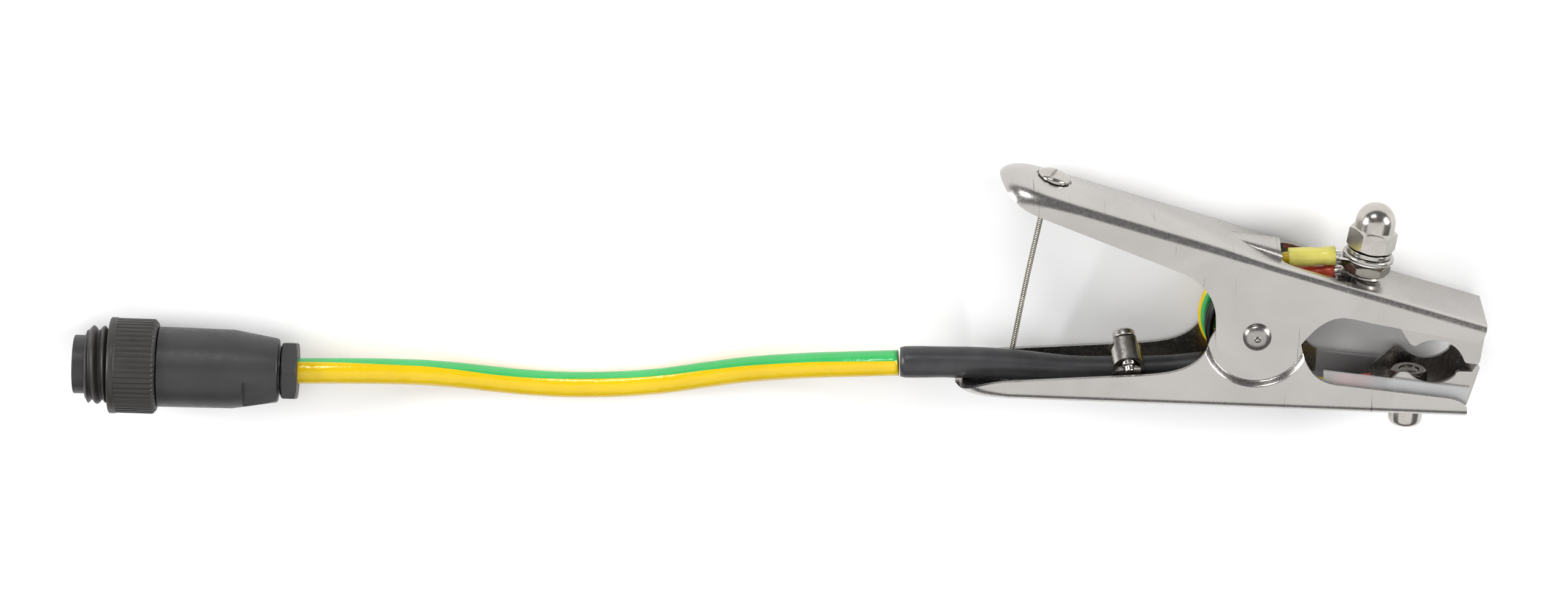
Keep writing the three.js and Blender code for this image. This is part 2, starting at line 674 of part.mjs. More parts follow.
function addLeads() {
  const wideStart = [[-14.05, -13.2, -1.4], [-12.5, -12.9, -2.2], [-10.9, -11.6, -3.8], [-11.1, -9.8, -5]];
  const wideEnd = [[2.5, 16.6, -2.6], [5.8, 18.8, -0.8], [8.8, 20.2, 0], [11.9, 20.5, 0]];
  const wide = upperLeadPath(wideStart, -5.2, 14.9, wideEnd);
  add("terminal_lead", bar(wide, CORE_RADIUS, 36), YELLOW_GREEN);
  const thinStart = [[-14.3, -16.5, -1.6], [-12.8, -16.3, -2.4], [-9, -14.2, -6.4], [-8.4, -10.8, -8.6]];
  const thin = upperLeadPath(thinStart, -8.9, 12.4, [[4, 13.9, -6.2], [8, 13.6, -3.4], [13.1, 14.4, -2.1]]);
  add("second_lead", bar(thin, 1.15, 36, 6), YELLOW_GREEN);
  const low = points([[-14.3, -15.6, 2.2], [-8, -18, 1.2], [2, -20, 0], [16, -20.1, 0], [26.9, -20.4, 0]]);
  add("jaw_lead", bar(low, 1.2, 14, 6), YELLOW_GREEN);
  add("heat_shrink", shrinkTube(), BLACK_SHRINK);
  add("cable", bar(CABLE_PATH, CABLE_RADIUS, 34, 10), YELLOW_GREEN);
}

function addStopRope() {
  const top = { at: [ROPE_TOP.x, ROPE_TOP.y, 0], along: upperNormal };
  const screw = turned([
    [0, -6],
    [2, -6],
    [2, 0.25],
    [5, 0.25],
    [5, 0.9],
    [4.2, 1.9],
    [2.4, 2.7],
    [0, 3],
  ]);
  const slot = new THREE.BoxGeometry(12, 2.4, 1.2).rotateY(1.2).translate(0, 2.9, 0);
  add("rope_screw", solid(screw).subtract(solid(slot)), BRIGHT_STEEL, top);
  const ferrule = turned([
    [0, -9.5],
    [2.6, -9.5],
    [3.6, -8.5],
    [3.6, -2.2],
    [2.25, -2.2],
    [2.25, -6.3],
    [0, -6.3],
  ]);
  add("rope_ferrule", ferrule, DARK_STEEL, top);
  const foot = { at: [-73.6, lowerWebAt(-73.6) + SHEET + 0.25, -8], along: lowerNormal };
  const anchor = turned([[0, 0], [3, 0], [3, 1.2], [1.8, 2.8], [1.8, 4.4], [0, 4.4]], 20);
  add("rope_anchor", anchor, DARK_STEEL, foot);
  const rope = points([[-65, 36.1, 0], [-69.6, 10, -4], [-73.5, -15, -8.1]]);
  add("stop_rope", bar(rope, ROPE_RADIUS, 6), STEEL);
}

// ---------------------------------------------------------------- hose clamp on the cable
const HOSE_CLAMP = { x: -38.6, y: -16.2, inner: 4.1, outer: 4.6, half: 4.1 };
const WORM = { turn: -0.82, tilt: 0.12, height: 7.7 }; // the housing's turn about the cable, its lean

// The band's housing: +Y runs along the worm to its head, +Z away from the cable.
function archSection(half, shoulder, top) {
  const s = new THREE.Shape();
  s.moveTo(-half, 1);
  s.lineTo(-half, shoulder);
  s.bezierCurveTo(-half, shoulder + 2.2, -0.7 * half, top, 0, top);
  s.bezierCurveTo(0.7 * half, top, half, shoulder + 2.2, half, shoulder);
  s.lineTo(half, 1);
  s.closePath();
  return s;
}

function outlineOf(rows) {
  return new THREE.Shape(rows.map(([x, y]) => new THREE.Vector2(x, y)));
}

function wormHousing() {
  const { outer, half } = HOSE_CLAMP;
  const arch = solid(prism(archSection(4.9, 6.4, 10.7), -6.3, 3.4, 6).rotateX(Math.PI / 2));
  const hollow = solid(prism(archSection(3.8, 5.8, 9.6), -4.3, 6, 6).rotateX(Math.PI / 2));
  const side = outlineOf([[-3.2, 0], [-3.2, 5.4], [-1, 11], [7, 11], [7, 0]]);
  const sideBody = solid(prism(side, -6, 6).rotateX(Math.PI / 2).rotateZ(Math.PI / 2));
  const plan = outlineOf([
    [-5.2, -4],
    [5.2, -4],
    [5, 2.4],
    [3.5, 4.2],
    [3.5, 6.3],
    [-3.5, 6.3],
    [-3.5, 4.2],
    [-5, 2.4],
  ]);
  const round = solid(rod(outer + GAP, -10, 10, 32).rotateZ(Math.PI / 2 - WORM.tilt));
  const tail = solid(sleeve(outer + GAP, outer + 1, -half, half, 32).rotateZ(Math.PI / 2 - WORM.tilt))
    .intersect(solid(new THREE.BoxGeometry(12, 3, 5).translate(0, -3.8, 4)))
    .subtract(solid(new THREE.BoxGeometry(4.8, 1.2, 8).translate(0, -4.2, 4)));
  return arch
    .intersect(sideBody)
    .intersect(solid(prism(plan, 0, 12)))
    .subtract(hollow)
    .subtract(round)
    .subtract(drill(2.6, 12, [0, 0, WORM.height], [0, 1, 0]))
    .add(tail);
}

function addHoseClamp() {
  const { x, y, inner, outer, half } = HOSE_CLAMP;
  const band = sleeve(inner, outer, -half, half, 32);
  add("hose_clamp_band", band, BRIGHT_STEEL, { at: [x, y, 0], along: [1, 0, 0] });
  const around = new THREE.Group();
  around.position.set(x, y, 0);
  around.rotation.x = WORM.turn;
  clamp.add(around);
  const leaning = new THREE.Group();
  leaning.rotation.z = WORM.tilt;
  around.add(leaning);
  add("hose_clamp_housing", wormHousing(), BRIGHT_STEEL, { parent: leaning });
  const screw = turned([
    [0, -4.9],
    [1.1, -4.9],
    [1.5, -4.5],
    [1.5, -3],
    [2.2, -2.6],
    [2.2, 6.7],
    [3.45, 6.7],
    [3.45, 8.4],
    [2.9, 9],
    [0, 9],
  ]);
  const slot = new THREE.BoxGeometry(9, 2.4, 0.9).translate(0, 9, 0);
  const cut = geometryOf(solid(screw).subtract(solid(slot)));
  add("hose_clamp_screw", cut.translate(0, 0, WORM.height), STEEL, { parent: leaning });
}

// ---------------------------------------------------------------- plug
const plug = new THREE.Group();
plug.position.set(PLUG.x, PLUG.y, PLUG.z);
plug.quaternion.setFromUnitVectors(
  new THREE.Vector3(0, 1, 0),
  new THREE.Vector3(-1, -PLUG.slope, 0).normalize(),
);
clamp.add(plug);

function plugBody() {
  const shell = solid(turned([
    [4.15, 6.3],
    [7.45, 6.3],
    [7.45, 7],
    [9.5, 7],
    [9.8, 7.4],
    [12.05, 20.9],
    [12.25, 43.5],
    [9.3, 43.5],
    [9.3, 24],
    [4.15, 20],
    [4.15, 6.3],
  ], 32));
  const { turn, depth, low, high } = WRENCH_FLAT;
  const block = new THREE.BoxGeometry(10, high - low, 30).translate(depth + 5, (low + high) / 2, 0);
  const flat = (angle) => solid(block.clone().rotateY(angle));
  return shell.subtract(flat(turn)).subtract(flat(turn + Math.PI));
}

// The locking ring: knurled grip, collar and round external thread.
function couplingSleeve() {
  const profile = [[9.3, 43.9], [13.4, 43.9], [14.5, 44.9], [14.7, 58.4], [10.7, 58.6]];
  for (const s of [60.9, 64.1]) profile.push([10.7, s - 0.9], [12, s - 0.3], [12, s + 0.3], [10.7, s + 0.9]);
  profile.push([10.7, 65.7], [9.3, 65.7], [9.3, 43.9]);
  return turned(profile, 32);
}

function addPlug() {
  const gland = geometryOf(hexagon(17, 1, 6).subtract(solid(rod(4.15, -1, 8))));
  add("gland_nut", gland.rotateY(Math.PI / 8), GREY_PLASTIC, { parent: plug });
  add("plug_body", plugBody(), GREY_PLASTIC, { parent: plug });
  add("coupling_sleeve", couplingSleeve(), GREY_PLASTIC, { parent: plug });
  const insert = turned([[0, 26], [8.95, 26], [8.95, 69.5], [7.6, 69.5], [7.6, 62], [0, 62]], 28);
  add("plug_insert", insert, GREY_PLASTIC, { parent: plug });
  for (let i = 0; i < 4; i++) {
    const a = ((i + 0.5) * Math.PI) / 2;
    const pin = turned([[0, 62.3], [1.1, 62.3], [1.1, 68.2], [0.6, 68.8], [0, 68.8]], 10);
    pin.translate(4.4 * Math.cos(a), 0, 4.4 * Math.sin(a));
    add(`contact_pin_${i + 1}`, pin, BRASS, { parent: plug });
  }
}

add("lower_handle", lowerHandle(), STEEL);
add("upper_handle", upperHandle(), STEEL);
add("upper_jaw", upperJaw(), STEEL);
add("lower_jaw", lowerJaw(), STEEL);
add("jaw_liner", jawLiner(), FROSTED);
addPivot();
addTerminal();
addJawFixing();
addLeads();
addStopRope();
addHoseClamp();
addPlug();

const group = new THREE.Group();
group.add(clamp);
export default group;
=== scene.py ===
"""Ground clamp with a short lead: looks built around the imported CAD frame."""
import math

import bmesh
import bpy
from mathutils import Matrix, Vector


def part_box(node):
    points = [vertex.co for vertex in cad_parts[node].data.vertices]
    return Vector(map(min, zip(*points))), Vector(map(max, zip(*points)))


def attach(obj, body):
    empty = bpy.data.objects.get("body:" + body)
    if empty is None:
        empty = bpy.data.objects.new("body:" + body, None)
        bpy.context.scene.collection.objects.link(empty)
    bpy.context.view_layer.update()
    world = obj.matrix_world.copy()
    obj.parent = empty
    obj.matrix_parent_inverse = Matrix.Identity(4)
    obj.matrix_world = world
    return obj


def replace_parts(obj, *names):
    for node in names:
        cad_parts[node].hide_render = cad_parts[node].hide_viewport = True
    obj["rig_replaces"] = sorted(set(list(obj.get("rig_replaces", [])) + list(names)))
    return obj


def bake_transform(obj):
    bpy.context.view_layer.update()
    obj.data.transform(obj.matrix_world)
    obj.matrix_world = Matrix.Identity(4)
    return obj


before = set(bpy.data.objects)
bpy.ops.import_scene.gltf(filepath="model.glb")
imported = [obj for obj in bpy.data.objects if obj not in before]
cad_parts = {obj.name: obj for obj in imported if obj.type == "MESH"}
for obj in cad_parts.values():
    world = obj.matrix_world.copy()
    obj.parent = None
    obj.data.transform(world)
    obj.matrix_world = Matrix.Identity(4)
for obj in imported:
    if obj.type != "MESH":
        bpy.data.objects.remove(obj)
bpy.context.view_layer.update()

# ------------------------------------------------------------------ frame and sizes (millimetres)
MM = 0.001
PIVOT = (Vector(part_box("pivot_rivet")[0]) + Vector(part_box("pivot_rivet")[1])) / 2
SHEET = 1.5
HALF_WIDTH = 13.8
GAP = 0.3
PIVOT_HOLE = 3.5
JAW_END = {"upper": 69.7, "lower": 64.5}
HOOD = {"apex": -17.5, "mouth": 7, "radius": 4.5, "spread": 1.65}  # the louvre of the upper web
WINDOW = {"x0": 7, "x1": 30, "half": 9.2, "corner": 5}
EAR_RADIUS = {"upper": 12.5, "lower": 12}
EDGE = 0.22  # rounding of the sheet's edges
UPPER_SLOPE, UPPER_HEIGHT = -0.3065, 24.5
LOWER_SLOPE, LOWER_HEIGHT = -0.041, -24.4
STUD_LEAN = 0.1676
STUD_BASE = Vector((32.9, 14.2, 0))
SCREW_X = 47.4
STUD_AXIS = Vector((math.sin(STUD_LEAN), math.cos(STUD_LEAN), 0))
UPPER_NORMAL = Vector((-UPPER_SLOPE, 1, 0)).normalized()
LOWER_NORMAL = Vector((-LOWER_SLOPE, 1, 0)).normalized()
X_AXIS, Y_AXIS, Z_AXIS = Vector((1, 0, 0)), Vector((0, 1, 0)), Vector((0, 0, 1))


def upper_web(x):
    return UPPER_HEIGHT + UPPER_SLOPE * x


ROPE_TOP = Vector((-61.8, upper_web(-61.8) + 2.3, 0))


def lower_web(x):
    return LOWER_HEIGHT + LOWER_SLOPE * x


def share(value, a, b):
    return min(1.0, max(0.0, (value - a) / (b - a)))


def smooth(t):
    return t * t * (3 - 2 * t)


def place(point):
    """A point in millimetres from the pivot as a point of the row frame in metres."""
    return PIVOT + Vector(point) * MM


# ------------------------------------------------------------------ mesh helpers
def new_object(name, vertices, faces):
    """A mesh object from points in millimetres from the pivot."""
    mesh = bpy.data.meshes.new(name)
    mesh.from_pydata([place(v) for v in vertices], [], faces)
    work = bmesh.new()
    work.from_mesh(mesh)
    bmesh.ops.remove_doubles(work, verts=work.verts, dist=1e-7)
    bmesh.ops.recalc_face_normals(work, faces=work.faces)
    work.to_mesh(mesh)
    work.free()
    obj = bpy.data.objects.new(name, mesh)
    bpy.context.scene.collection.objects.link(obj)
    for polygon in mesh.polygons:
        polygon.use_smooth = True
    return obj


def turned_axes(axis):
    """Two directions square to an axis."""
    turn = Y_AXIS.rotation_difference(Vector(axis).normalized())
    return turn @ X_AXIS, turn @ Z_AXIS


def turned(name, profile, at=(0, 0, 0), axis=Y_AXIS, sides=48):
    """A profile of (radius, height) points turned about an axis.

    The profile ends on the axis or closes on itself.
    """
    axis = Vector(axis).normalized()
    u, v = turned_axes(axis)
    base = Vector(at)
    vertices, faces = [], []
    count = len(profile)
    for i in range(sides):
        a = 2 * math.pi * i / sides
        spoke = u * math.cos(a) + v * math.sin(a)
        vertices += [base + axis * h + spoke * r for r, h in profile]
    for i in range(sides):
        j = (i + 1) % sides
        for k in range(count - 1):
            if profile[k][0] < 1e-9 and profile[k + 1][0] < 1e-9:
                continue
            quad = [i * count + k, i * count + k + 1, j * count + k + 1, j * count + k]
            if profile[k + 1][0] < 1e-9:
                quad = [quad[0], quad[1], quad[3]]
            elif profile[k][0] < 1e-9:
                quad = [quad[0], quad[1], quad[2]]
            faces.append(quad)
    return new_object(name, vertices, faces)


def ring_profile(inner, outer, low, high, soft=0.12):
    """A ring's section with softened outer corners, closed on itself."""
    return [
        (inner, low),
        (outer - soft, low),
        (outer, low + soft),
        (outer, high - soft),
        (outer - soft, high),
        (inner, high),
        (inner, low),
    ]


def prism(name, outline, low, high):
    """An outline in X and Y extruded along Z."""
    count = len(outline)
    vertices = [(x, y, low) for x, y in outline] + [(x, y, high) for x, y in outline]
    faces = [list(range(count)), list(range(2 * count - 1, count - 1, -1))]
    for i in range(count):
        j = (i + 1) % count
        faces.append([i, j, j + count, i + count])
    return new_object(name, vertices, faces)


def smooth_path(points, per_span=8):
    """Centripetal Catmull-Rom points through the given points."""
    pts = [Vector(p) for p in points]
    pts = [2 * pts[0] - pts[1]] + pts + [2 * pts[-1] - pts[-2]]
    result = []
    for i in range(1, len(pts) - 2):
        p0, p1, p2, p3 = pts[i - 1 : i + 3]
        t0 = 0.0
        t1 = t0 + max(1e-6, (p1 - p0).length) ** 0.5
        t2 = t1 + max(1e-6, (p2 - p1).length) ** 0.5
        t3 = t2 + max(1e-6, (p3 - p2).length) ** 0.5
        for k in range(per_span):
            t = t1 + (t2 - t1) * k / per_span
            a1 = p0.lerp(p1, (t - t0) / (t1 - t0))
            a2 = p1.lerp(p2, (t - t1) / (t2 - t1))
            a3 = p2.lerp(p3, (t - t2) / (t3 - t2))
            b1 = a1.lerp(a2, (t - t0) / (t2 - t0))
            b2 = a2.lerp(a3, (t - t1) / (t3 - t1))
            result.append(b1.lerp(b2, (t - t1) / (t2 - t1)))
    result.append(pts[-2])
    return result


def frames_along(path):
    """A tangent and two square directions at each point, carried along without twist."""
    tangents = []
    for i in range(len(path)):
        a = path[max(0, i - 1)]
        b = path[min(len(path) - 1, i + 1)]
        tangents.append((b - a).normalized())
    side = tangents[0].orthogonal().normalized()
    frames = []
    for i, t in enumerate(tangents):
        if i:
            side = tangents[i - 1].rotation_difference(t) @ side
            side = (side - t * side.dot(t)).normalized()
        frames.append((t, side, t.cross(side)))
    return frames


def tube(name, path, radius, sides=20, turn=0.0, stripes=False):
    """A closed tube along a path.

    The radius, and the turn of its stripe, are numbers or functions of the share of its length.
    """
    radius_at = radius if callable(radius) else lambda s: radius
    turn_at = turn if callable(turn) else lambda s: turn
    frames = frames_along(path)
    lengths = [0.0]
    for i in range(1, len(path)):
        lengths.append(lengths[-1] + (path[i] - path[i - 1]).length)
    vertices, faces, around = [], [], []
    for i, (p, (t, u, v)) in enumerate(zip(path, frames)):
        if stripes:
            v = (Z_AXIS - t * Z_AXIS.dot(t)).normalized()
            u = v.cross(t)
        r = radius_at(lengths[i] / lengths[-1])
        for k in range(sides):
            a = 2 * math.pi * k / sides
            vertices.append(p + (u * math.cos(a) + v * math.sin(a)) * r)
            around.append((k / sides, lengths[i], turn_at(lengths[i] / lengths[-1])))
    for i in range(len(path) - 1):
        for k in range(sides):
            m = (k + 1) % sides
            faces.append([i * sides + k, i * sides + m, (i + 1) * sides + m, (i + 1) * sides + k])
    faces.append(list(range(sides)))
    faces.append([(len(path) - 1) * sides + k for k in reversed(range(sides))])
    obj = new_object(name, vertices, faces)
    if stripes:
        layer = obj.data.uv_layers.new(name="around")
        for polygon in obj.data.polygons:
            ks = [around[obj.data.loops[l].vertex_index][0] for l in polygon.loop_indices]
            wrap = max(ks) - min(ks) > 0.5
            for l in polygon.loop_indices:
                k, s, turned_by = around[obj.data.loops[l].vertex_index]
                layer.data[l].uv = ((k + 1 if wrap and k < 0.5 else k) + turned_by, s)
    return obj


def combine(target, other, operation):
    """A boolean of two solids, applied; the second one is removed."""
    modifier = target.modifiers.new("cut", "BOOLEAN")
    modifier.operation = operation
    modifier.object = other
    modifier.solver = "EXACT"
    apply_modifiers(target)
    bpy.data.objects.remove(other)
    return target


def apply_modifiers(obj):
    bpy.context.view_layer.update()
    graph = bpy.context.evaluated_depsgraph_get()
    mesh = bpy.data.meshes.new_from_object(obj.evaluated_get(graph))
    obj.modifiers.clear()
    obj.data = mesh


def join(name, objects):
    """Several solids as one object."""
    work = bmesh.new()
    for obj in objects:
        work.from_mesh(obj.data)
        bpy.data.objects.remove(obj)
    mesh = bpy.data.meshes.new(name)
    work.to_mesh(mesh)
    work.free()
    joined = bpy.data.objects.new(name, mesh)
    bpy.context.scene.collection.objects.link(joined)
    for polygon in mesh.polygons:
        polygon.use_smooth = True
    return joined


def soften(obj, width, angle=32):
    """Rounded edges and clean normals."""
    work = bmesh.new()
    work.from_mesh(obj.data)
    bmesh.ops.remove_doubles(work, verts=work.verts, dist=2e-6)
    bmesh.ops.dissolve_limit(
        work, angle_limit=math.radians(0.6), verts=work.verts, edges=work.edges
    )
    work.to_mesh(obj.data)
    work.free()
    for polygon in obj.data.polygons:
        polygon.use_smooth = True
    bevel = obj.modifiers.new("edges", "BEVEL")
    bevel.width = width * MM
    bevel.segments = 2
    bevel.limit_method = "ANGLE"
    bevel.angle_limit = math.radians(angle)
    bevel.use_clamp_overlap = True
    bevel.miter_outer = "MITER_ARC"
    normals = obj.modifiers.new("normals", "WEIGHTED_NORMAL")
    normals.keep_sharp = True
    return obj


def refined(node, width, angle=32):
    """A copy of a CAD node with rounded edges."""
    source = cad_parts[node]
    copy = bpy.data.objects.new(node + "_fine", source.data.copy())
    bpy.context.scene.collection.objects.link(copy)
    copy.data.materials.clear()
    return soften(copy, width, angle)


def finish_piece(obj, finish, slot, body, *nodes):
    """Gives a piece its material, its body and the CAD nodes that it stands for."""
    obj.data.materials.clear()
    obj.data.materials.append(finish)
    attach(obj, body)
    if nodes:
        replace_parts(obj, *nodes)
    return obj


# ------------------------------------------------------------------ outlines
def line(*points):
    return list(points)


def curve(start, controls, end, count=14):
    """Points of a Bezier curve with one or two control points, its start left out."""
    pts = [start, *controls, end]
    degree = len(pts) - 1
    result = []
    for i in range(1, count + 1):
        t = i / count
        x = y = 0.0
        for k, p in enumerate(pts):
            w = math.comb(degree, k) * (1 - t) ** (degree - k) * t**k
            x += w * p[0]
            y += w * p[1]
        result.append((x, y))
    return result


def arc(cx, cy, radius, a0, a1, count=28):
    return [
        (
            cx + radius * math.cos(a0 + (a1 - a0) * i / count),
            cy + radius * math.sin(a0 + (a1 - a0) * i / count),
        )
        for i in range(count + 1)
    ]


# ------------------------------------------------------------------ pressed channels
class Channel:
    """One pressed handle: its web line, crown, bend radius and round nose."""

    def __init__(self, side, slope, height, nose, deep, end, stations, bend, lift, crown):
        self.side, self.slope, self.height = side, slope, height
        self.nose, self.deep, self.end = nose, deep, end
        self.stations, self.bend, self.lift, self.crown = stations, bend, lift, crown

    def ring(self, x, inset):
        start, length, power = self.nose
        portion = share(start - x, 0, length - inset)
        round_off = max(0.02, 1 - portion**power) ** (1 / power)
        half = (HALF_WIDTH - inset) * round_off
        radius = max(0.3, min(self.bend(x), 0.8 * half + inset) - inset)
        web = self.height + self.slope * x + self.lift(x)
        web -= self.side * inset * math.hypot(1, self.slope)
        crown = self.crown(x)
        front = [(half, self.deep)]
        for i in range(9):
            a = i * math.pi / 16
            front.append(
                (half - radius + radius * math.cos(a), web - self.side * radius * (1 - math.sin(a)))
            )
        flat = half - radius
        front += [(flat * (1 - i / 6), web) for i in range(1, 6)]
        front = [
            (z, y if y == self.deep else y + self.side * crown * (1 - (z / half) ** 2))
            for z, y in front
        ]
        middle = [(0, web + self.side * crown)]
        back = [(-z, y) for z, y in reversed(front)]
        return [(x, y, z) for z, y in front + middle + back]

    def body(self, name, inset):
        start, length, _ = self.nose
        stations = [
            start - (length - inset) * math.sin(i * math.pi / 28) * 0.9999 for i in range(14, 0, -1)
        ]
        stations += [start, *self.stations, self.end + inset]
        rings = [self.ring(x, inset) for x in stations]
        count = len(rings[0])
        faces = [list(range(count)), [(len(rings) - 1) * count + k for k in reversed(range(count))]]
        for i in range(len(rings) - 1):
            low, high = i * count, (i + 1) * count
            for k in range(count):
                m = (k + 1) % count
                faces.append([low + k, low + m, high + m, high + k])
        return new_object(name, [p for ring in rings for p in ring], faces)


def upper_lift(x):
    return -4.5 * (1 - math.sqrt(1 - share(x, -67, -78.4) ** 2))


def lower_lift(x):
    return 0.6 * (1 - math.sqrt(1 - share(x, -80, -90.8) ** 2))


UPPER = Channel(
    1, UPPER_SLOPE, UPPER_HEIGHT, (-64, 15, 3), -60, JAW_END["upper"],
    [-55, -45, -30, -18, -15, -11, -8, -5, -2, 1, 4, 7, 10, 40],
    lambda x: 3 + 3 * share(x, -60, -76),
    upper_lift,
    lambda x: 3 - share(x, -60, -12) - 2 * smooth(share(x, -14, 9)),
)
LOWER = Channel(
    -1, LOWER_SLOPE, LOWER_HEIGHT, (-75, 15.8, 3.2), 60, JAW_END["lower"],
    [-40, 0, 40],
    lambda x: 3.4 + 2 * share(x, -75, -90),
    lower_lift,
    lambda x: 0.0,
)


def drill(radius, length, at, axis):
    return turned(
        "drill", [(0, -length), (radius, -length), (radius, length), (0, length)], at, axis, 48
    )


def hood(inset):
    """The louvre's cone, wider than high: its skin at no inset, its hollow at the sheet's."""
    mouth = Vector((HOOD["mouth"] + 0.01, upper_web(HOOD["mouth"]) - 0.6, 0))
    start = HOOD["apex"] + 4 * inset
    apex = Vector((start, upper_web(start) - inset / 3, 0))
    axis = mouth - apex
    length = axis.length + (2 if inset else 0)  # the hollow runs on into the window
    radius = HOOD["radius"] - inset * 0.8
    cone = turned("hood", [(0, 0), (radius, length), (0, length)], apex, axis, 96)
    for vertex in cone.data.vertices:
        vertex.co.z = PIVOT.z + (vertex.co.z - PIVOT.z) * HOOD["spread"]
    return cone


def window_cutter():
    """The opening of the upper web, with round corners at its left end."""
    half, x0, x1, corner = WINDOW["half"], WINDOW["x0"], WINDOW["x1"], WINDOW["corner"]
    plan = [(x0, -half + corner)]
    plan += curve((x0, -half + corner), [(x0, -half)], (x0 + corner, -half))
    plan += [(x1, -half), (x1, half), (x0 + corner, half)]
    plan += curve((x0 + corner, half), [(x0, half)], (x0, half - corner))
    count = len(plan)
    vertices = [(x, 5, z) for x, z in plan] + [(x, 45, z) for x, z in plan]
    faces = [list(range(count)), list(range(2 * count - 1, count - 1, -1))]
    faces += [[i, (i + 1) % count, (i + 1) % count + count, i + count] for i in range(count)]
    return new_object("window", vertices, faces)


def upper_outline():
    points = line((-86, 90), (-86, 54), (-79.2, 50.4))
    points += curve(points[-1], [(-77.2, 45.2), (-72, 41.1)], (-66.1, 38.7))
    points += line((-24, 21.1))
    points += curve(points[-1], [(-17, 18.4), (-13, 12.8)], (-12.6, 6))
    points += arc(0, 0, EAR_RADIUS["upper"], math.pi, 2 * math.pi - 0.43, 40)
    points += curve(points[-1], [(15.3, 0), (19.4, 6.2)], (26, 6.2))
    points += curve(points[-1], [(29, 6)], (34.3, 4.5))
    points += line((66.1, -2))
    points += curve(points[-1], [(68.6, -2.3)], (JAW_END["upper"], 3))
    return points + line((JAW_END["upper"], 90))


def lower_outline():
    points = line((-95, -60), (-95, -20), (-89.5, -19.7))
    points += curve(points[-1], [(-83.5, -15.2)], (-74, -14.9))
    points += line((-34.4, -12.9))
    points += curve(points[-1], [(-25, -12.3), (-18.6, -11)], (-15.1, -4.6))
    points += curve(points[-1], [(-13.4, -0.2)], (-11.4, 3.7))
    points += arc(0, 0, EAR_RADIUS["lower"], math.pi - 0.314, 0.1, 40)
    points += line((13.5, -3))
    points += curve(points[-1], [(14.6, -9.5), (17.5, -15)], (24.4, -15.9))
    points += line((58.3, -20.2))
    points += curve(points[-1], [(63.2, -21)], (JAW_END["lower"], -23.6))
    return points + line((JAW_END["lower"], -60))


def joggle(inset, side):
    """The disc that presses the lower ear inwards, with its round shoulder."""
    face = HALF_WIDTH - SHEET - GAP - inset
    rise, top = SHEET + GAP, HALF_WIDTH + 10
    inner, outer = 15 - inset * 0.5, 16.5 - inset * 0.5
    profile = [(0, face), (inner - 0.5, face)]
    for i in range(9):
        t = i / 8
        profile.append((inner - 0.3 + (outer - inner + 0.6) * t, face + rise * smooth(t)))
    profile += [(outer + 0.3 if inset else outer + 0.5, top), (0, top)]
    return turned("joggle", profile, axis=Z_AXIS * side, sides=96)


def make_upper_handle():
    shell = combine(UPPER.body("upper_handle_shell", 0), hood(0), "UNION")
    shell = combine(shell, UPPER.body("cavity", SHEET), "DIFFERENCE")
    shell = combine(shell, hood(SHEET), "DIFFERENCE")
    shell = combine(shell, prism("side", upper_outline(), -30, 30), "INTERSECT")
    shell = combine(shell, window_cutter(), "DIFFERENCE")
    shell = combine(shell, drill(PIVOT_HOLE, 40, (0, 0, 0), Z_AXIS), "DIFFERENCE")
    shell = combine(shell, drill(4.6, 6, STUD_BASE, STUD_AXIS), "DIFFERENCE")
    shell = combine(shell, drill(2.3, 6, ROPE_TOP, UPPER_NORMAL), "DIFFERENCE")
    shell = combine(shell, drill(5.6, 8, ROPE_TOP + UPPER_NORMAL * 8, UPPER_NORMAL), "DIFFERENCE")
    return soften(shell, EDGE)


def make_lower_handle():
    outer = LOWER.body("lower_handle_shell", 0)
    cavity = LOWER.body("cavity", SHEET)
    for side in (1, -1):
        outer = combine(outer, joggle(0, side), "DIFFERENCE")
        cavity = combine(cavity, joggle(SHEET, side), "DIFFERENCE")
    outer = combine(outer, cavity, "DIFFERENCE")
    outer = combine(outer, prism("side", lower_outline(), -30, 30), "INTERSECT")
    outer = combine(outer, drill(PIVOT_HOLE, 40, (0, 0, 0), Z_AXIS), "DIFFERENCE")
    screw = (SCREW_X, lower_web(SCREW_X), 0)
    outer = combine(outer, drill(4.2, 6, screw, LOWER_NORMAL), "DIFFERENCE")
    return soften(outer, EDGE)


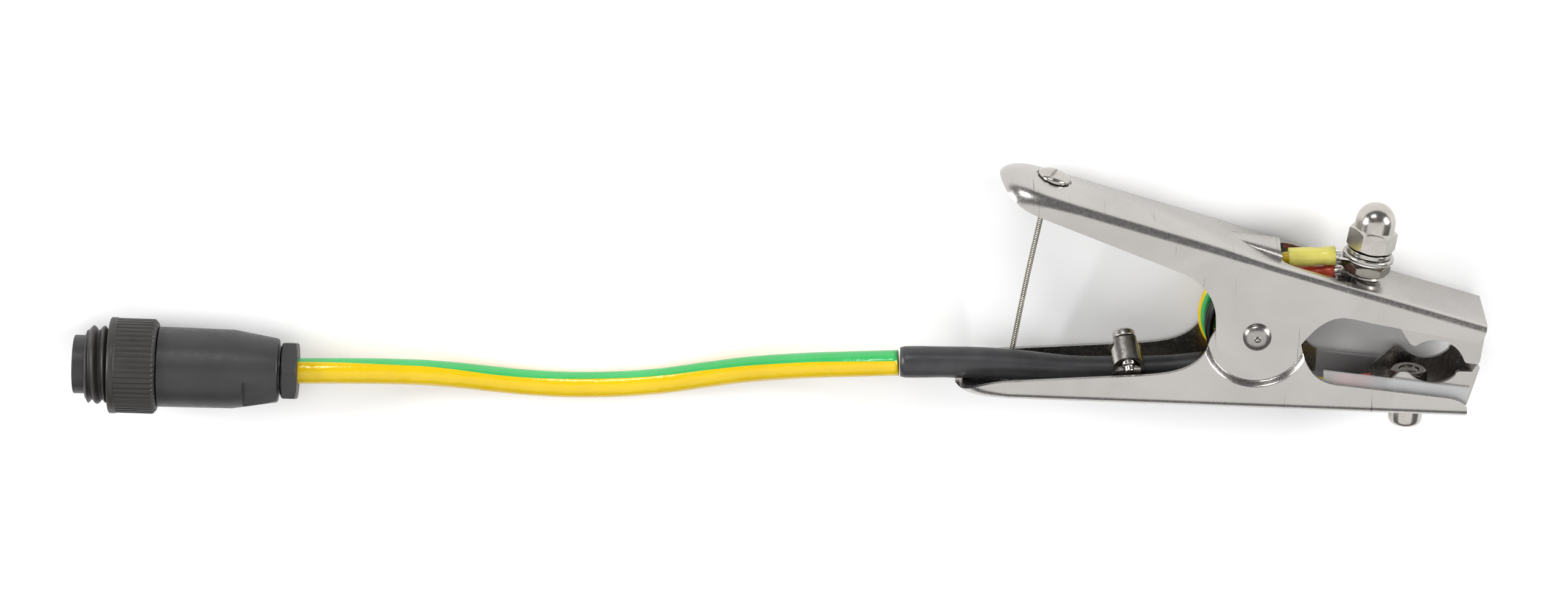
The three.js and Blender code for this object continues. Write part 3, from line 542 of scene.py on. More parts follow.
# ------------------------------------------------------------------ materials
class Nodes:
    """A material's node tree, with short calls for the nodes used here."""

    def __init__(self, name):
        self.material = bpy.data.materials.new(name)
        self.material.use_nodes = True
        self.tree = self.material.node_tree
        self.shader = self.tree.nodes["Principled BSDF"]
        self.coordinates = self.tree.nodes.new("ShaderNodeTexCoord")

    def set(self, **values):
        for key, value in values.items():
            self.shader.inputs[key.replace("_", " ")].default_value = value

    def link(self, output, target):
        self.tree.links.new(output, target)

    def noise(self, scale, detail=4.0, stretch=(1, 1, 1), roughness=0.55, distortion=0.0):
        mapping = self.tree.nodes.new("ShaderNodeMapping")
        mapping.inputs["Scale"].default_value = stretch
        self.link(self.coordinates.outputs["Object"], mapping.inputs["Vector"])
        noise = self.tree.nodes.new("ShaderNodeTexNoise")
        noise.inputs["Scale"].default_value = scale
        noise.inputs["Detail"].default_value = detail
        noise.inputs["Roughness"].default_value = roughness
        noise.inputs["Distortion"].default_value = distortion
        self.link(mapping.outputs["Vector"], noise.inputs["Vector"])
        return noise.outputs["Fac"]

    def ramp(self, value, low, high, a, b):
        """Maps a value from low..high to a..b, for roughness and masks."""
        node = self.tree.nodes.new("ShaderNodeMapRange")
        node.inputs["From Min"].default_value = low
        node.inputs["From Max"].default_value = high
        node.inputs["To Min"].default_value = a
        node.inputs["To Max"].default_value = b
        self.link(value, node.inputs["Value"])
        return node.outputs["Result"]

    def mix(self, factor, a, b):
        """A colour between two colours or sockets."""
        node = self.tree.nodes.new("ShaderNodeMix")
        node.data_type = "RGBA"
        self.link(factor, node.inputs[0])
        for socket, value in ((node.inputs[6], a), (node.inputs[7], b)):
            if isinstance(value, bpy.types.NodeSocket):
                self.link(value, socket)
            else:
                socket.default_value = (*value, 1)
        return node.outputs[2]

    def color(self, socket):
        self.link(socket, self.shader.inputs["Base Color"])

    def roughness(self, socket):
        self.link(socket, self.shader.inputs["Roughness"])

    def bump(self, height, strength, distance):
        node = self.tree.nodes.new("ShaderNodeBump")
        node.inputs["Strength"].default_value = strength
        node.inputs["Distance"].default_value = distance
        self.link(height, node.inputs["Height"])
        if self.shader.inputs["Normal"].is_linked:
            self.link(self.shader.inputs["Normal"].links[0].from_socket, node.inputs["Normal"])
        self.link(node.outputs["Normal"], self.shader.inputs["Normal"])


def pressed_steel(name, light, dark, rough, marks):
    """Satin stainless sheet: an even fine speckle, a soft mottle and a few hairline scratches."""
    n = Nodes(name)
    n.set(Metallic=1.0)
    mottle = n.noise(38, 5, distortion=0.5)
    speckle = n.noise(4200, 3)
    grain = n.noise(900, 4, roughness=0.7)
    scratches = n.noise(90, 2, (14, 0.5, 0.5), distortion=0.3)
    hairline = n.ramp(scratches, 0.7, 0.76, 0, 1)
    sheet = n.mix(n.ramp(mottle, 0.35, 0.7, 0, 1), light, dark)
    n.color(n.mix(hairline, sheet, tuple(0.6 * c for c in dark)))
    n.roughness(n.ramp(grain, 0.3, 0.72, rough - 0.05, rough + 0.08))
    n.bump(speckle, 0.45 * marks, 0.00004)
    n.bump(hairline, 0.25 * marks, 0.00002)
    return n.material


def turned_steel(name, light, dark, rough):
    """Machined or barrel-polished steel with faint wear."""
    n = Nodes(name)
    n.set(Metallic=1.0)
    mottle = n.noise(220, 5, distortion=0.4)
    n.color(n.mix(n.ramp(mottle, 0.35, 0.7, 0, 1), light, dark))
    n.roughness(n.ramp(n.noise(900, 4), 0.3, 0.7, rough - 0.04, rough + 0.07))
    n.bump(n.noise(2600, 3), 0.16, 0.00004)
    return n.material


def moulded_plastic(name, base, tint, rough):
    """Matt dark plastic with a fine grain."""
    n = Nodes(name)
    n.set(Specular_IOR_Level=0.45)
    n.color(n.mix(n.ramp(n.noise(90, 4), 0.35, 0.7, 0, 1), base, tint))
    n.roughness(n.ramp(n.noise(400, 4), 0.3, 0.7, rough - 0.05, rough + 0.08))
    n.bump(n.noise(2400, 3), 0.35, 0.00004)
    return n.material


def shrink_rubber():
    """Semi-gloss shrink tube with the cable's lay showing through and soft dents."""
    n = Nodes("black_shrink")
    n.set(Specular_IOR_Level=0.5)
    lay = n.ramp(n.noise(120, 4), 0.3, 0.7, 0, 1)
    n.color(n.mix(lay, (0.018, 0.018, 0.02), (0.034, 0.034, 0.036)))
    n.roughness(n.ramp(n.noise(260, 4), 0.3, 0.7, 0.34, 0.5))
    n.bump(n.noise(42, 3, (0.45, 1, 1)), 0.35, 0.0006)
    n.bump(n.noise(1500, 3), 0.12, 0.00005)
    return n.material


def earth_insulation(name, green_share):
    """Glossy yellow insulation with one green stripe, which follows the "around" coordinates."""
    n = Nodes(name)
    n.set(Specular_IOR_Level=0.5)
    uv = n.tree.nodes.new("ShaderNodeUVMap")
    uv.uv_map = "around"
    split = n.tree.nodes.new("ShaderNodeSeparateXYZ")
    n.link(uv.outputs["UV"], split.inputs["Vector"])
    turn = n.tree.nodes.new("ShaderNodeMath")
    turn.operation = "FRACT"
    n.link(split.outputs["X"], turn.inputs[0])
    away = n.tree.nodes.new("ShaderNodeMath")
    away.operation = "SUBTRACT"
    n.link(turn.outputs["Value"], away.inputs[0])
    away.inputs[1].default_value = 0.5
    size = n.tree.nodes.new("ShaderNodeMath")
    size.operation = "ABSOLUTE"
    n.link(away.outputs["Value"], size.inputs[0])
    edge = green_share / 2
    mask = n.ramp(size.outputs["Value"], edge - 0.004, edge + 0.004, 1, 0)
    tone = n.ramp(n.noise(60, 4), 0.3, 0.7, 0, 1)
    yellow = n.mix(tone, (0.7, 0.48, 0.002), (0.64, 0.43, 0.003))
    green = n.mix(tone, (0.05, 0.44, 0.12), (0.04, 0.38, 0.095))
    n.color(n.mix(mask, yellow, green))
    n.roughness(n.ramp(n.noise(300, 4), 0.3, 0.7, 0.09, 0.2))
    n.bump(n.noise(120, 3, (0.5, 1, 1)), 0.3, 0.0003)
    n.bump(n.noise(380, 3, (0.7, 1, 1)), 0.6, 0.0004)
    return n.material


def clear_plastic(name, base, rough, transmission):
    """Translucent plastic whose haze varies a little."""
    n = Nodes(name)
    n.set(Transmission_Weight=transmission, IOR=1.46)
    n.color(n.mix(n.ramp(n.noise(130, 4), 0.3, 0.7, 0, 1), base, tuple(c * 0.93 for c in base)))
    n.roughness(n.ramp(n.noise(220, 4, (3, 1, 1)), 0.3, 0.7, rough - 0.06, rough + 0.08))
    n.bump(n.noise(500, 3, (4, 1, 1)), 0.1, 0.00006)
    return n.material


HANDLE_STEEL = pressed_steel("handle_steel", (0.475, 0.455, 0.435), (0.42, 0.4, 0.38), 0.24, 1.0)
JAW_STEEL = pressed_steel("jaw_steel", (0.45, 0.43, 0.41), (0.38, 0.36, 0.34), 0.24, 0.8)
BRIGHT_STEEL = turned_steel("bright_steel", (0.5, 0.475, 0.44), (0.42, 0.395, 0.36), 0.19)
PLAIN_STEEL = turned_steel("plain_steel", (0.47, 0.445, 0.42), (0.39, 0.37, 0.345), 0.22)
DARK_STEEL = turned_steel("dark_steel", (0.28, 0.26, 0.23), (0.2, 0.185, 0.16), 0.22)
RIVET_STEEL = turned_steel("rivet_steel", (0.36, 0.34, 0.32), (0.29, 0.275, 0.26), 0.24)
ROPE_STEEL = turned_steel("rope_steel", (0.42, 0.39, 0.345), (0.3, 0.28, 0.24), 0.3)
SPRING_STEEL = turned_steel("spring_steel", (0.035, 0.034, 0.033), (0.02, 0.02, 0.02), 0.35)
TINNED = turned_steel("tinned_copper", (0.7, 0.68, 0.65), (0.58, 0.56, 0.52), 0.3)
BRASS = turned_steel("brass", (0.7, 0.52, 0.2), (0.6, 0.42, 0.14), 0.25)
SHRINK = shrink_rubber()
CABLE = earth_insulation("cable_insulation", 0.22)
CORE = earth_insulation("core_insulation", 0.2)
PLUG_PLASTIC = moulded_plastic("plug_plastic", (0.022, 0.021, 0.022), (0.03, 0.029, 0.03), 0.43)
KNURL_PLASTIC = moulded_plastic(
    "knurl_plastic", (0.018, 0.0155, 0.0145), (0.026, 0.023, 0.0215), 0.45
)
FROSTED = clear_plastic("frosted_liner", (0.93, 0.94, 0.95), 0.42, 0.82)
YELLOW_SLEEVE = clear_plastic("yellow_sleeve", (0.92, 0.84, 0.2), 0.22, 0.45)
RED_SLEEVE = clear_plastic("red_sleeve", (0.85, 0.12, 0.06), 0.24, 0.4)


# ------------------------------------------------------------------ camera and cable
ELEVATION = math.radians(22.5)
DISTANCE = 1.86
SEEN_WIDTH = 0.47704
SENSOR = 36.0


def make_camera():
    """Looks at the clamp from ELEVATION off the pivot's axis, with +Y up the picture."""
    up = Vector((0, math.cos(ELEVATION), -math.sin(ELEVATION)))
    back = Vector((0, math.sin(ELEVATION), math.cos(ELEVATION)))
    target = place((-143.1, 3.95, 0))
    data = bpy.data.cameras.new("camera")
    data.sensor_width = SENSOR
    data.lens = SENSOR * DISTANCE / SEEN_WIDTH
    camera = bpy.data.objects.new("camera", data)
    bpy.context.scene.collection.objects.link(camera)
    rotation = Matrix((X_AXIS, up, back)).transposed().to_4x4()
    camera.matrix_world = Matrix.Translation(target + back * DISTANCE) @ rotation
    bpy.context.scene.camera = camera


CABLE_ROUTE = [
    (-108.1, -14.3, 0),
    (-121.3, -15.2, -1.2),
    (-137.6, -17.4, -5),
    (-153.8, -20.4, -9.2),
    (-166.9, -23.2, -11.6),
    (-179.8, -25.4, -12.15),
    (-193, -26.5, -12.15),
    (-208, -26.75, -12.15),
    (-220.6, -26.05, -12),
    (-232, -24.55, -11.2),
    (-243, -22.5, -9.5),
    (-254, -20.5, -7),
    (-265, -19, -4.4),
    (-277, -18, -2.4),
    (-290.3, -17.6, -1.4),
    (-294.5, -17.56, -1.4),
]
SHRINK_ROUTE = [
    (-107.6, -14, 0),
    (-92.8, -14.05, 0),
    (-74, -14.75, 0),
    (-56, -16, 0),
    (-38, -16.2, 0),
    (-26, -15.8, 0),
    (-15, -14.7, 0),
]
CABLE_RADIUS = 3.95


# The stripe's lower edge, in degrees above the view direction, along the cable.
STRIPE_EDGE = [(0, 8), (0.15, 15), (0.5, 27), (0.66, 20), (0.8, 30), (1, 46)]
STRIPE_HALF = 40


def stripe_turn(s):
    """How far the stripe's middle has turned from the +Z side, as a share of a turn."""
    for (s0, a0), (s1, a1) in zip(STRIPE_EDGE, STRIPE_EDGE[1:]):
        if s <= s1:
            edge = a0 + (a1 - a0) * smooth(share(s, s0, s1))
            break
    return 0.25 - (math.degrees(ELEVATION) + edge + STRIPE_HALF) / 360


def make_cable():
    path = smooth_path(CABLE_ROUTE, 8)
    cable = tube("cable_skin", path, CABLE_RADIUS, 40, turn=stripe_turn, stripes=True)
    finish_piece(cable, CABLE, "yellow_green", "lower", "cable")


def make_shrink_tube():
    """The tapered tube, with an open mouth lip and a few soft waists."""
    path = smooth_path(SHRINK_ROUTE, 10)
    start, end = SHRINK_ROUTE[0][0], SHRINK_ROUTE[-1][0]
    mouth, waist, lip = 4.8, 0.012, 0.35

    def radius(s):
        base = mouth - smooth(share(start + (end - start) * s, -82, -50))
        return base * (1 + waist * math.sin(s * 31) * (1 - s)) - lip * (1 - share(s, 0, 0.006))

    tube_piece = tube("shrink_skin", path, radius, 36)
    return finish_piece(tube_piece, SHRINK, "black_shrink", "lower", "heat_shrink")


# ------------------------------------------------------------------ pressed pieces
def make_pressed_pieces():
    finish_piece(make_upper_handle(), HANDLE_STEEL, "handle_steel", "upper", "upper_handle")
    finish_piece(make_lower_handle(), HANDLE_STEEL, "handle_steel", "lower", "lower_handle")
    finish_piece(refined("upper_jaw", EDGE), JAW_STEEL, "jaw_steel", "upper", "upper_jaw")
    finish_piece(refined("lower_jaw", EDGE), JAW_STEEL, "jaw_steel", "lower", "lower_jaw")
    finish_piece(refined("jaw_liner", 0.1), FROSTED, "frosted_liner", "lower", "jaw_liner")


# ------------------------------------------------------------------ pivot
def dome(radius, base, rise, edge):
    """A domed head's profile from its rim to its crown."""
    count = 12
    angles = [i * math.pi / 2 / count for i in range(count)]
    rows = [(radius * math.cos(a), base + edge + rise * math.sin(a)) for a in angles]
    return rows + [(0, base + edge + rise)]


def make_pivot():
    face = HALF_WIDTH + 0.1
    up = [(3.2, face), (4.2, face), (4.3, face + 0.12), *dome(4.3, face, 1.95, 0.2)]
    up[-1:] = [(0.8, up[-1][1] - 0.02), (0.3, up[-1][1] - 0.05), (0, up[-1][1] - 0.06)]
    down = [(r, -y) for r, y in reversed(up)]
    rivet = turned("rivet", down + up, axis=Z_AXIS, sides=64)
    finish_piece(rivet, RIVET_STEEL, "bright_steel", "lower", "pivot_rivet")
    bush = turned("bush", ring_profile(3.5, 5.5, -10.2, 10.2, 0.3), axis=Z_AXIS)
    finish_piece(bush, PLAIN_STEEL, "jaw_steel", "lower", "pivot_bush")
    make_spring()


def make_spring():
    """The wire's coils round the bush, with a straight leg to each handle."""
    high, low, mean, turns = 8.2, 0.3, 14.0, 2.5
    route = [(-26, -19.8, high), (-13, -16.8, high)]
    count = int(turns * 24)
    for i in range(count + 1):
        a = -math.pi / 2 + i * math.pi / 12
        route.append((mean * math.cos(a), mean * math.sin(a), high + (low - high) * i / count))
    route += [(-13, 20.4, low), (-25, 29.6, low)]
    spring = tube("spring_wire", smooth_path(route, 4), 1.3, 14)
    finish_skin(spring, SPRING_STEEL, "spring_steel", "torsion_spring")
    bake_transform(spring)


def finish_skin(obj, finish, slot, *nodes):
    """Like finish_piece but with no body: gives a piece between the two handles its material and
    the CAD nodes that it stands for.
    """
    obj.data.materials.clear()
    obj.data.materials.append(finish)
    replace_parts(obj, *nodes)


# ------------------------------------------------------------------ hexagons, nuts and screws
def hexagon(name, across, low, high, at, axis, bore=0.0):
    """A hexagon bar with the round chamfers of a nut, and an optional bore."""
    corner, flat = across / math.sqrt(3), across / 2
    drop = (corner - flat) * 0.9
    bar = turned(name, [(0, low), (corner, low), (corner, high), (0, high)], at, axis, 6)
    rows = [(0, low), (flat * 0.95, low), (corner + 0.01, low + drop)]
    rows += [(corner + 0.01, high - drop), (flat * 0.95, high), (0, high)]
    bar = combine(bar, turned("barrel", rows, at, axis, 72), "INTERSECT")
    if bore:
        base = Vector(at) + Vector(axis).normalized() * (low + high) / 2
        bar = combine(bar, drill(bore, high - low, base, axis), "DIFFERENCE")
    return bar


def make_terminal():
    rows = [(0, -11.2), (5.7, -11.2), (6, -10.9), (6, -8.2), (3.9, -8.2)]
    rows += [*thread(3.9, 3.5, 0, 19, 1.25), (3.1, 19.8), (0, 19.8)]
    stud = turned("stud", rows, STUD_BASE, STUD_AXIS, 40)
    finish_piece(stud, PLAIN_STEEL, "jaw_steel", "upper", "terminal_stud")
    jam = hexagon("jam_nut_fine", 13, 1.75, 5.2, STUD_BASE, STUD_AXIS, 4.15)
    finish_piece(soften(jam, 0.1), DARK_STEEL, "dark_steel", "upper", "jam_nut")
    rows = ring_profile(4.2, 7.85, 6.4, 7.6, 0.2)
    washer = turned("flat_washer_fine", rows, STUD_BASE, STUD_AXIS, 64)
    finish_piece(washer, PLAIN_STEEL, "jaw_steel", "upper", "flat_washer")
    make_spring_washer()
    make_acorn_nut()
    for node in ("terminal_lug", "second_lug"):
        finish_piece(refined(node, 0.1), TINNED, "tinned_copper", "upper", node)


def thread(crest, root, low, high, pitch):
    """A thread's zigzag profile, which turns into rings."""
    points = []
    s = low
    while s + pitch <= high:
        points += [(root, s), (crest, s + pitch * 0.45)]
        points += [(crest, s + pitch * 0.6), (root, s + pitch)]
        s += pitch
    return points


def make_spring_washer():
    """A split washer with its ends a little apart."""
    section = [(4.25, -0.66), (6.9, -0.66), (6.9, 0.66), (4.25, 0.66)]
    u, v = turned_axes(STUD_AXIS)
    steps, gap, split_turn, height, offset = 60, 0.1, 1.2, 8.48, 0.08
    vertices, faces = [], []
    for i in range(steps + 1):
        a = gap + (2 * math.pi - 2 * gap) * i / steps - split_turn
        lift = height + offset * (i / steps - 0.5)
        spoke = u * math.cos(a) + v * math.sin(a)
        vertices += [STUD_BASE + spoke * r + STUD_AXIS * (lift + h) for r, h in section]
    for i in range(steps):
        for k in range(4):
            m = (k + 1) % 4
            faces.append([i * 4 + k, i * 4 + m, (i + 1) * 4 + m, (i + 1) * 4 + k])
    faces += [[0, 1, 2, 3], [steps * 4 + k for k in (3, 2, 1, 0)]]
    washer = soften(new_object("spring_washer_fine", vertices, faces), 0.12)
    finish_piece(washer, BRIGHT_STEEL, "jaw_steel", "upper", "spring_washer")


def make_acorn_nut():
    """A hexagon with a hollow domed cap."""
    nut = hexagon("acorn_fine", 13, 9.3, 16, STUD_BASE, STUD_AXIS)
    radius, shoulder, rise = 6.1, 18, 6.05
    cap = [(0, 9.5), (radius, 9.5), (radius, 16.6), (radius, shoulder)]
    angles = [i * math.pi / 32 for i in range(1, 16)]
    cap += [(radius * math.cos(a), shoulder + rise * math.sin(a)) for a in angles]
    cap += [(0, 24.05)]
    nut = combine(nut, turned("cap", cap, STUD_BASE, STUD_AXIS, 72), "UNION")
    hollow = turned("hollow", [(0, 9), (4.2, 9), (4.2, 19.6), (0, 20.4)], STUD_BASE, STUD_AXIS, 40)
    nut = combine(nut, hollow, "DIFFERENCE")
    finish_piece(soften(nut, 0.12, 25), BRIGHT_STEEL, "bright_steel", "upper", "acorn_nut")


def between_sleeve(name, start, end, profile):
    """A sleeve turned about the line from start to end, its heights as shares of the length."""
    a, b = Vector(start), Vector(end)
    length = (b - a).length
    rows = [(r, s * length) for r, s in profile]
    return turned(name, rows, a, b - a, 40)


YELLOW_ENDS = ((24.1, 21, 0), (9.7, 20.4, 0))
RED_ENDS = ((24.1, 15.9, 0), (10.9, 14.1, -2.5))
JAW_LUG_ENDS = ((36.1, -20.1, 0), (24.8, -20.3, 0))


def crimp_profile(inner, outer):
    """A crimped sleeve: tight over the barrel, flared at the wire's end."""
    return [
        (inner, 0),
        (outer - 0.15, 0),
        (outer, 0.015),
        (outer, 0.2),
        (outer - 0.22, 0.26),
        (outer - 0.22, 0.42),
        (outer, 0.5),
        (outer, 0.92),
        (outer + 0.05, 0.985),
        (outer - 0.1, 1),
        (inner + 0.1, 1),
        (inner, 0.9),
        (inner, 0),
    ]


def make_lug_sleeves():
    yellow = crimp_profile(2.35, 2.95)
    red = crimp_profile(1.75, 2.2)
    sleeve = between_sleeve("yellow_sleeve_skin", *YELLOW_ENDS, yellow)
    finish_piece(sleeve, YELLOW_SLEEVE, "yellow_sleeve", "upper", "terminal_lug_sleeve")
    sleeve = between_sleeve("red_sleeve_skin", *RED_ENDS, red)
    finish_piece(sleeve, RED_SLEEVE, "red_sleeve", "upper", "second_lug_sleeve")
    sleeve = between_sleeve("jaw_sleeve_skin", *JAW_LUG_ENDS, red)
    finish_piece(sleeve, RED_SLEEVE, "red_sleeve", "lower", "lower_lug_sleeve")


def make_jaw_fixing():
    base = (SCREW_X, lower_web(SCREW_X), 0)
    head = [(0, -7.8), (3.3, -7.8), (4.2, -7.55), (4.85, -7), (5.15, -6.2)]
    head += [(5.2, -5.4), (5.2, -2.1), (5.05, -1.8), (3, -1.8)]
    rows = [*head, *thread(3, 2.6, 5, 10, 1), (0, 10)]
    screw = turned("jaw_screw_fine", rows, base, LOWER_NORMAL, 56)
    finish_piece(screw, BRIGHT_STEEL, "bright_steel", "lower", "jaw_screw")
    washer = turned("jaw_washer_fine", ring_profile(3.3, 5.6, -1.6, -0.2, 0.2), base, LOWER_NORMAL)
    finish_piece(washer, FROSTED, "frosted_liner", "lower", "jaw_screw_washer")
    nut = hexagon("jaw_nut_fine", 10, 5.4, 10.2, base, LOWER_NORMAL, 3.1)
    finish_piece(soften(nut, 0.1), PLAIN_STEEL, "jaw_steel", "lower", "jaw_nut")
    finish_piece(refined("lower_lug", 0.1), TINNED, "tinned_copper", "lower", "lower_lug")


# ------------------------------------------------------------------ leads and rope
def upper_lead_route(start, depth, radius, end):
    """A lead's route from below, round the pivot at one depth, and on to its lug."""
    arc_points = []
    for i in range(8):
        a = math.radians(205 - 15 * i)
        arc_points.append((radius * math.cos(a), radius * math.sin(a), depth))
    return [*start, *arc_points, *end]


def core_turn(s):
    """The stripe faces up round the pivot and turns underneath towards the lug."""
    return 0.25 + 0.35 * smooth(share(s, 0.55, 0.9))


def make_leads():
    wide = upper_lead_route(
        [(-14.05, -13.2, -1.4), (-12.5, -12.9, -2.2), (-10.9, -11.6, -3.8), (-11.1, -9.8, -5)],
        -5.2,
        14.9,
        [(2.5, 16.6, -2.6), (5.8, 18.8, -0.8), (8.8, 20.2, 0), (11.9, 20.5, 0)],
    )
    thin = upper_lead_route(
        [(-14.3, -16.5, -1.6), (-12.8, -16.3, -2.4), (-9, -14.2, -6.4), (-8.4, -10.8, -8.6)],
        -8.9,
        12.4,
        [(4, 13.9, -6.2), (8, 13.6, -3.4), (13.1, 14.4, -2.1)],
    )
    for name, route, radius, node in (
        ("terminal_lead_skin", wide, 1.9, "terminal_lead"),
        ("second_lead_skin", thin, 1.15, "second_lead"),
    ):
        lead = tube(name, smooth_path(route, 8), radius, 20, turn=core_turn, stripes=True)
        finish_skin(lead, CORE, "yellow_green", node)
        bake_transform(lead)
    low = [(-14.3, -15.6, 2.2), (-8, -18, 1.2), (2, -20, 0), (16, -20.1, 0), (26.9, -20.4, 0)]
    lead = tube("jaw_lead_skin", smooth_path(low, 10), 1.2, 18, turn=0.25, stripes=True)
    finish_piece(lead, CORE, "yellow_green", "lower", "jaw_lead")


ROPE_ROUTE = [(-65, 36.1, 0), (-69.6, 10, -4), (-73.5, -15, -8.1)]


def make_stop_rope():
    """Six strands laid round a core, as one skin."""
    path = smooth_path(ROPE_ROUTE, 60)
    frames = frames_along(path)
    pitch, core, lay_radius, wire = 5.0, 0.33, 0.58, 0.28
    strands = [tube("core", path, core, 8)]
    for k in range(6):
        strand, run = [], 0.0
        for i, (p, (_, u, v)) in enumerate(zip(path, frames)):
            if i:
                run += (p - path[i - 1]).length
            a = 2 * math.pi * (k / 6 + run / pitch)
            strand.append(p + (u * math.cos(a) + v * math.sin(a)) * lay_radius)
        strands.append(tube("strand", strand, wire, 8))
    rope = join("stop_rope_strands", strands)
    finish_skin(rope, ROPE_STEEL, "rope_steel", "stop_rope")
    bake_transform(rope)


def make_rope_ends():
    """The slotted screw, and the ferrules at both ends of the rope."""
    slot_turn, slot_height = 1.2, 2.9
    head = [(0, -6), (2, -6), (2, 0.25), (4.85, 0.25), (5, 0.4), (5, 0.85)]
    angles = [i * math.pi / 28 for i in range(1, 14)]
    head += [(5 * math.cos(a), 0.85 + 2.1 * math.sin(a)) for a in angles]
    screw = turned("rope_screw_fine", [*head, (0, 2.95)], ROPE_TOP, UPPER_NORMAL, 64)
    along = Vector((math.cos(slot_turn), 0, -math.sin(slot_turn)))
    tangent = (along - UPPER_NORMAL * along.dot(UPPER_NORMAL)).normalized()
    across = UPPER_NORMAL.cross(tangent)
    middle = ROPE_TOP + UPPER_NORMAL * slot_height
    corners = [(i, j, k) for i in (-6, 6) for j in (-0.6, 0.6) for k in (-1.2, 1.2)]
    vertices = [middle + tangent * i + across * j + UPPER_NORMAL * k for i, j, k in corners]
    faces = [[0, 1, 3, 2], [4, 6, 7, 5], [0, 4, 5, 1], [2, 3, 7, 6], [0, 2, 6, 4], [1, 5, 7, 3]]
    screw = combine(screw, new_object("slot", vertices, faces), "DIFFERENCE")
    finish_piece(soften(screw, 0.08, 40), BRIGHT_STEEL, "bright_steel", "upper", "rope_screw")
    finish_piece(refined("rope_ferrule", 0.2), DARK_STEEL, "dark_steel", "upper", "rope_ferrule")
    finish_piece(refined("rope_anchor", 0.15), DARK_STEEL, "dark_steel", "lower", "rope_anchor")


# ------------------------------------------------------------------ hose clamp
HOSE = Vector((-38.6, -16.2, 0))


def make_hose_clamp():
    band = turned("band_fine", ring_profile(4.1, 4.6, -4.1, 4.1, 0.1), HOSE, X_AXIS, 56)
    finish_piece(band, BRIGHT_STEEL, "bright_steel", "lower", "hose_clamp_band")
    housing = refined("hose_clamp_housing", 0.45, 25)
    finish_piece(housing, BRIGHT_STEEL, "bright_steel", "lower", "hose_clamp_housing")
    screw = refined("hose_clamp_screw", 0.2)
    finish_piece(screw, PLAIN_STEEL, "jaw_steel", "worm", "hose_clamp_screw")


# ------------------------------------------------------------------ plug
PLUG_AT = Vector((-290.6, -17.7, -1.4))
PLUG_AXIS = Vector((-1, 0.035, 0)).normalized()


def make_coupling_sleeve():
    """The locking ring: knurled grip, plain collar and a round external thread."""
    ribs, per_rib, groove_depth = 52, 8, 0.42
    sides = ribs * per_rib
    rows = [(9.3, 43.9), (12.8, 43.9), (13.5, 44.1), (14.4, 44.9), (14.5, 45.3), (14.5, 56)]
    rows += [(14.45, 56.2), (14.6, 56.3), (14.7, 56.5), (14.7, 58.2), (14.45, 58.45), (10.9, 58.55)]
    thread_low, thread_high, pitch, root, depth = 58.7, 65.5, 3.175, 10.6, 1.4
    steps = 40
    rows += [(root, thread_low + (thread_high - thread_low) * i / steps) for i in range(steps + 1)]
    rows += [(10.4, 65.7), (9.3, 65.7), (9.3, 43.9)]
    u, v = turned_axes(PLUG_AXIS)
    vertices, faces = [], []
    count = len(rows)
    for i in range(sides):
        a = 2 * math.pi * i / sides
        spoke = u * math.cos(a) + v * math.sin(a)
        groove = groove_depth * (0.5 + 0.5 * math.cos(2 * math.pi * i / per_rib)) ** 3
        for r, h in rows:
            if 44 < h < 56.1 and r > 13:
                r -= groove
            if abs(r - root) < 1e-6:
                phase = ((h - thread_low) / pitch + i / sides) % 1.0
                fade = share(h, thread_low, thread_low + 0.8)
                fade *= 1 - share(h, thread_high - 0.7, thread_high)
                r += depth * fade * max(0.0, math.sin(math.pi * phase)) ** 1.5
            vertices.append(PLUG_AT + PLUG_AXIS * h + spoke * r)
    for i in range(sides):
        j = (i + 1) % sides
        for k in range(count - 1):
            faces.append([i * count + k, i * count + k + 1, j * count + k + 1, j * count + k])
    sleeve = new_object("coupling_fine", vertices, faces)
    finish_piece(sleeve, KNURL_PLASTIC, "grey_plastic", "coupling", "coupling_sleeve")


def make_plug():
    make_coupling_sleeve()
    for node, width in (("plug_body", 0.35), ("plug_insert", 0.3), ("gland_nut", 0.3)):
        finish_piece(refined(node, width, 28), PLUG_PLASTIC, "grey_plastic", "lower", node)
    for i in range(1, 5):
        pin = refined(f"contact_pin_{i}", 0.1)
        finish_piece(pin, BRASS, "brass", "lower", f"contact_pin_{i}")


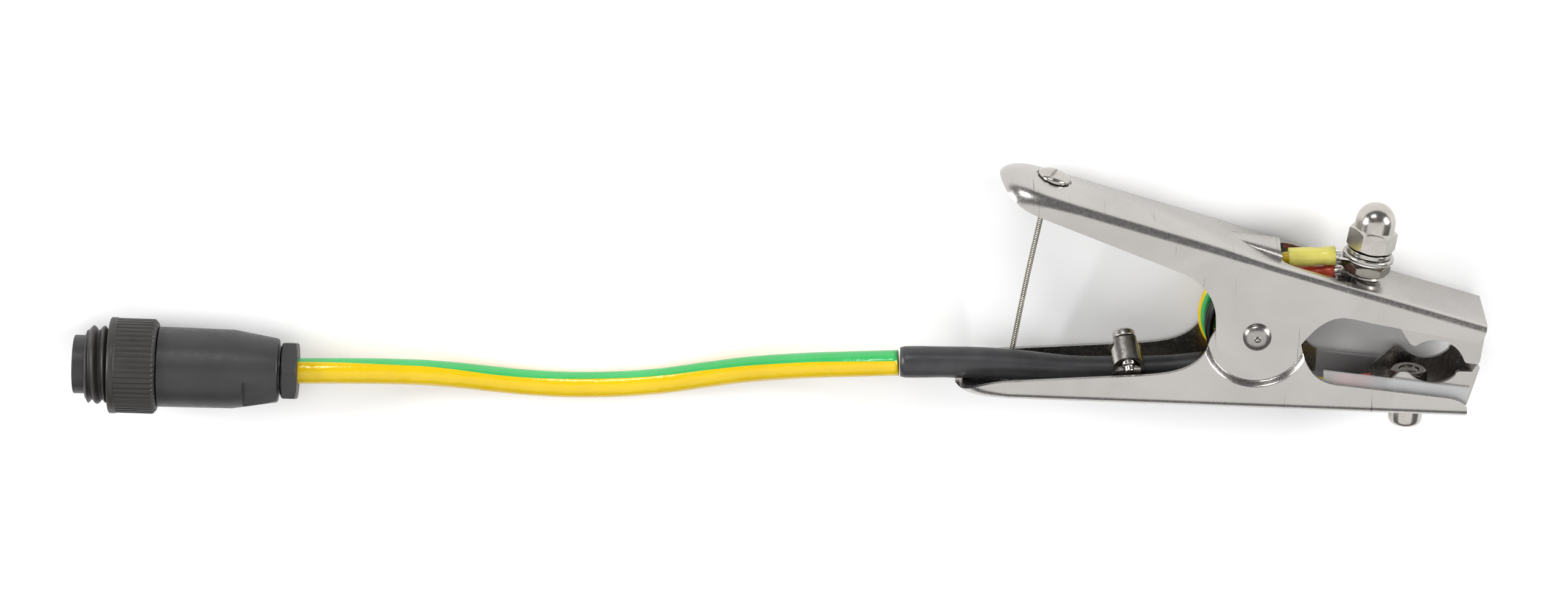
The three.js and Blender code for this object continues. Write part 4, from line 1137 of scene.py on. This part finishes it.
# ------------------------------------------------------------------ studio
def area_light(name, location, target, size, power):
    data = bpy.data.lights.new(name, "AREA")
    data.shape = "RECTANGLE"
    data.size, data.size_y = size
    data.energy = power
    light = bpy.data.objects.new(name, data)
    light.location = location
    light.rotation_euler = (Vector(target) - Vector(location)).to_track_quat("-Z", "Y").to_euler()
    bpy.context.scene.collection.objects.link(light)


def make_studio():
    work = bmesh.new()
    bmesh.ops.create_grid(work, x_segments=1, y_segments=1, size=6.0)
    mesh = bpy.data.meshes.new("floor")
    work.to_mesh(mesh)
    work.free()
    floor = bpy.data.objects.new("floor", mesh)
    floor.location = (0, 0, -0.0004)
    bpy.context.scene.collection.objects.link(floor)
    n = Nodes("floor_paper")
    n.set(Roughness=0.9, Specular_IOR_Level=0.1)
    n.color(n.mix(n.noise(3, 2), (0.94, 0.94, 0.94), (0.96, 0.96, 0.96)))
    floor.data.materials.append(n.material)
    world = bpy.data.worlds.new("studio")
    world.use_nodes = True
    world.node_tree.nodes["Background"].inputs["Color"].default_value = (0.97, 0.98, 1, 1)
    world.node_tree.nodes["Background"].inputs["Strength"].default_value = 0.2
    bpy.context.scene.world = world
    bpy.context.scene.view_settings.view_transform = "Standard"
    middle = (-0.1, 0, 0.02)
    area_light("overhead", (-0.14, -0.6, 1.13), (-0.14, -0.6, 0), (2.4, 1.96), 15)
    area_light("strip", (-0.33, 1.16, 0.76), (-0.24, 0, 0), (0.5, 0.2), 4.5)
    area_light("left", (-1.8, 0.5, 0.8), middle, (0.8, 0.6), 30)
    area_light("right", (1.6, 0.5, 0.8), middle, (0.8, 0.6), 30)


make_camera()
shrink = make_shrink_tube()
plug_nodes = ["gland_nut", "plug_body", "coupling_sleeve", "plug_insert"]
plug_nodes += [f"contact_pin_{i}" for i in range(1, 5)]
make_pressed_pieces()
make_pivot()
make_terminal()
make_lug_sleeves()
make_jaw_fixing()
make_leads()
make_stop_rope()
make_rope_ends()
make_hose_clamp()
make_plug()
make_cable()
make_studio()

bpy.context.view_layer.update()
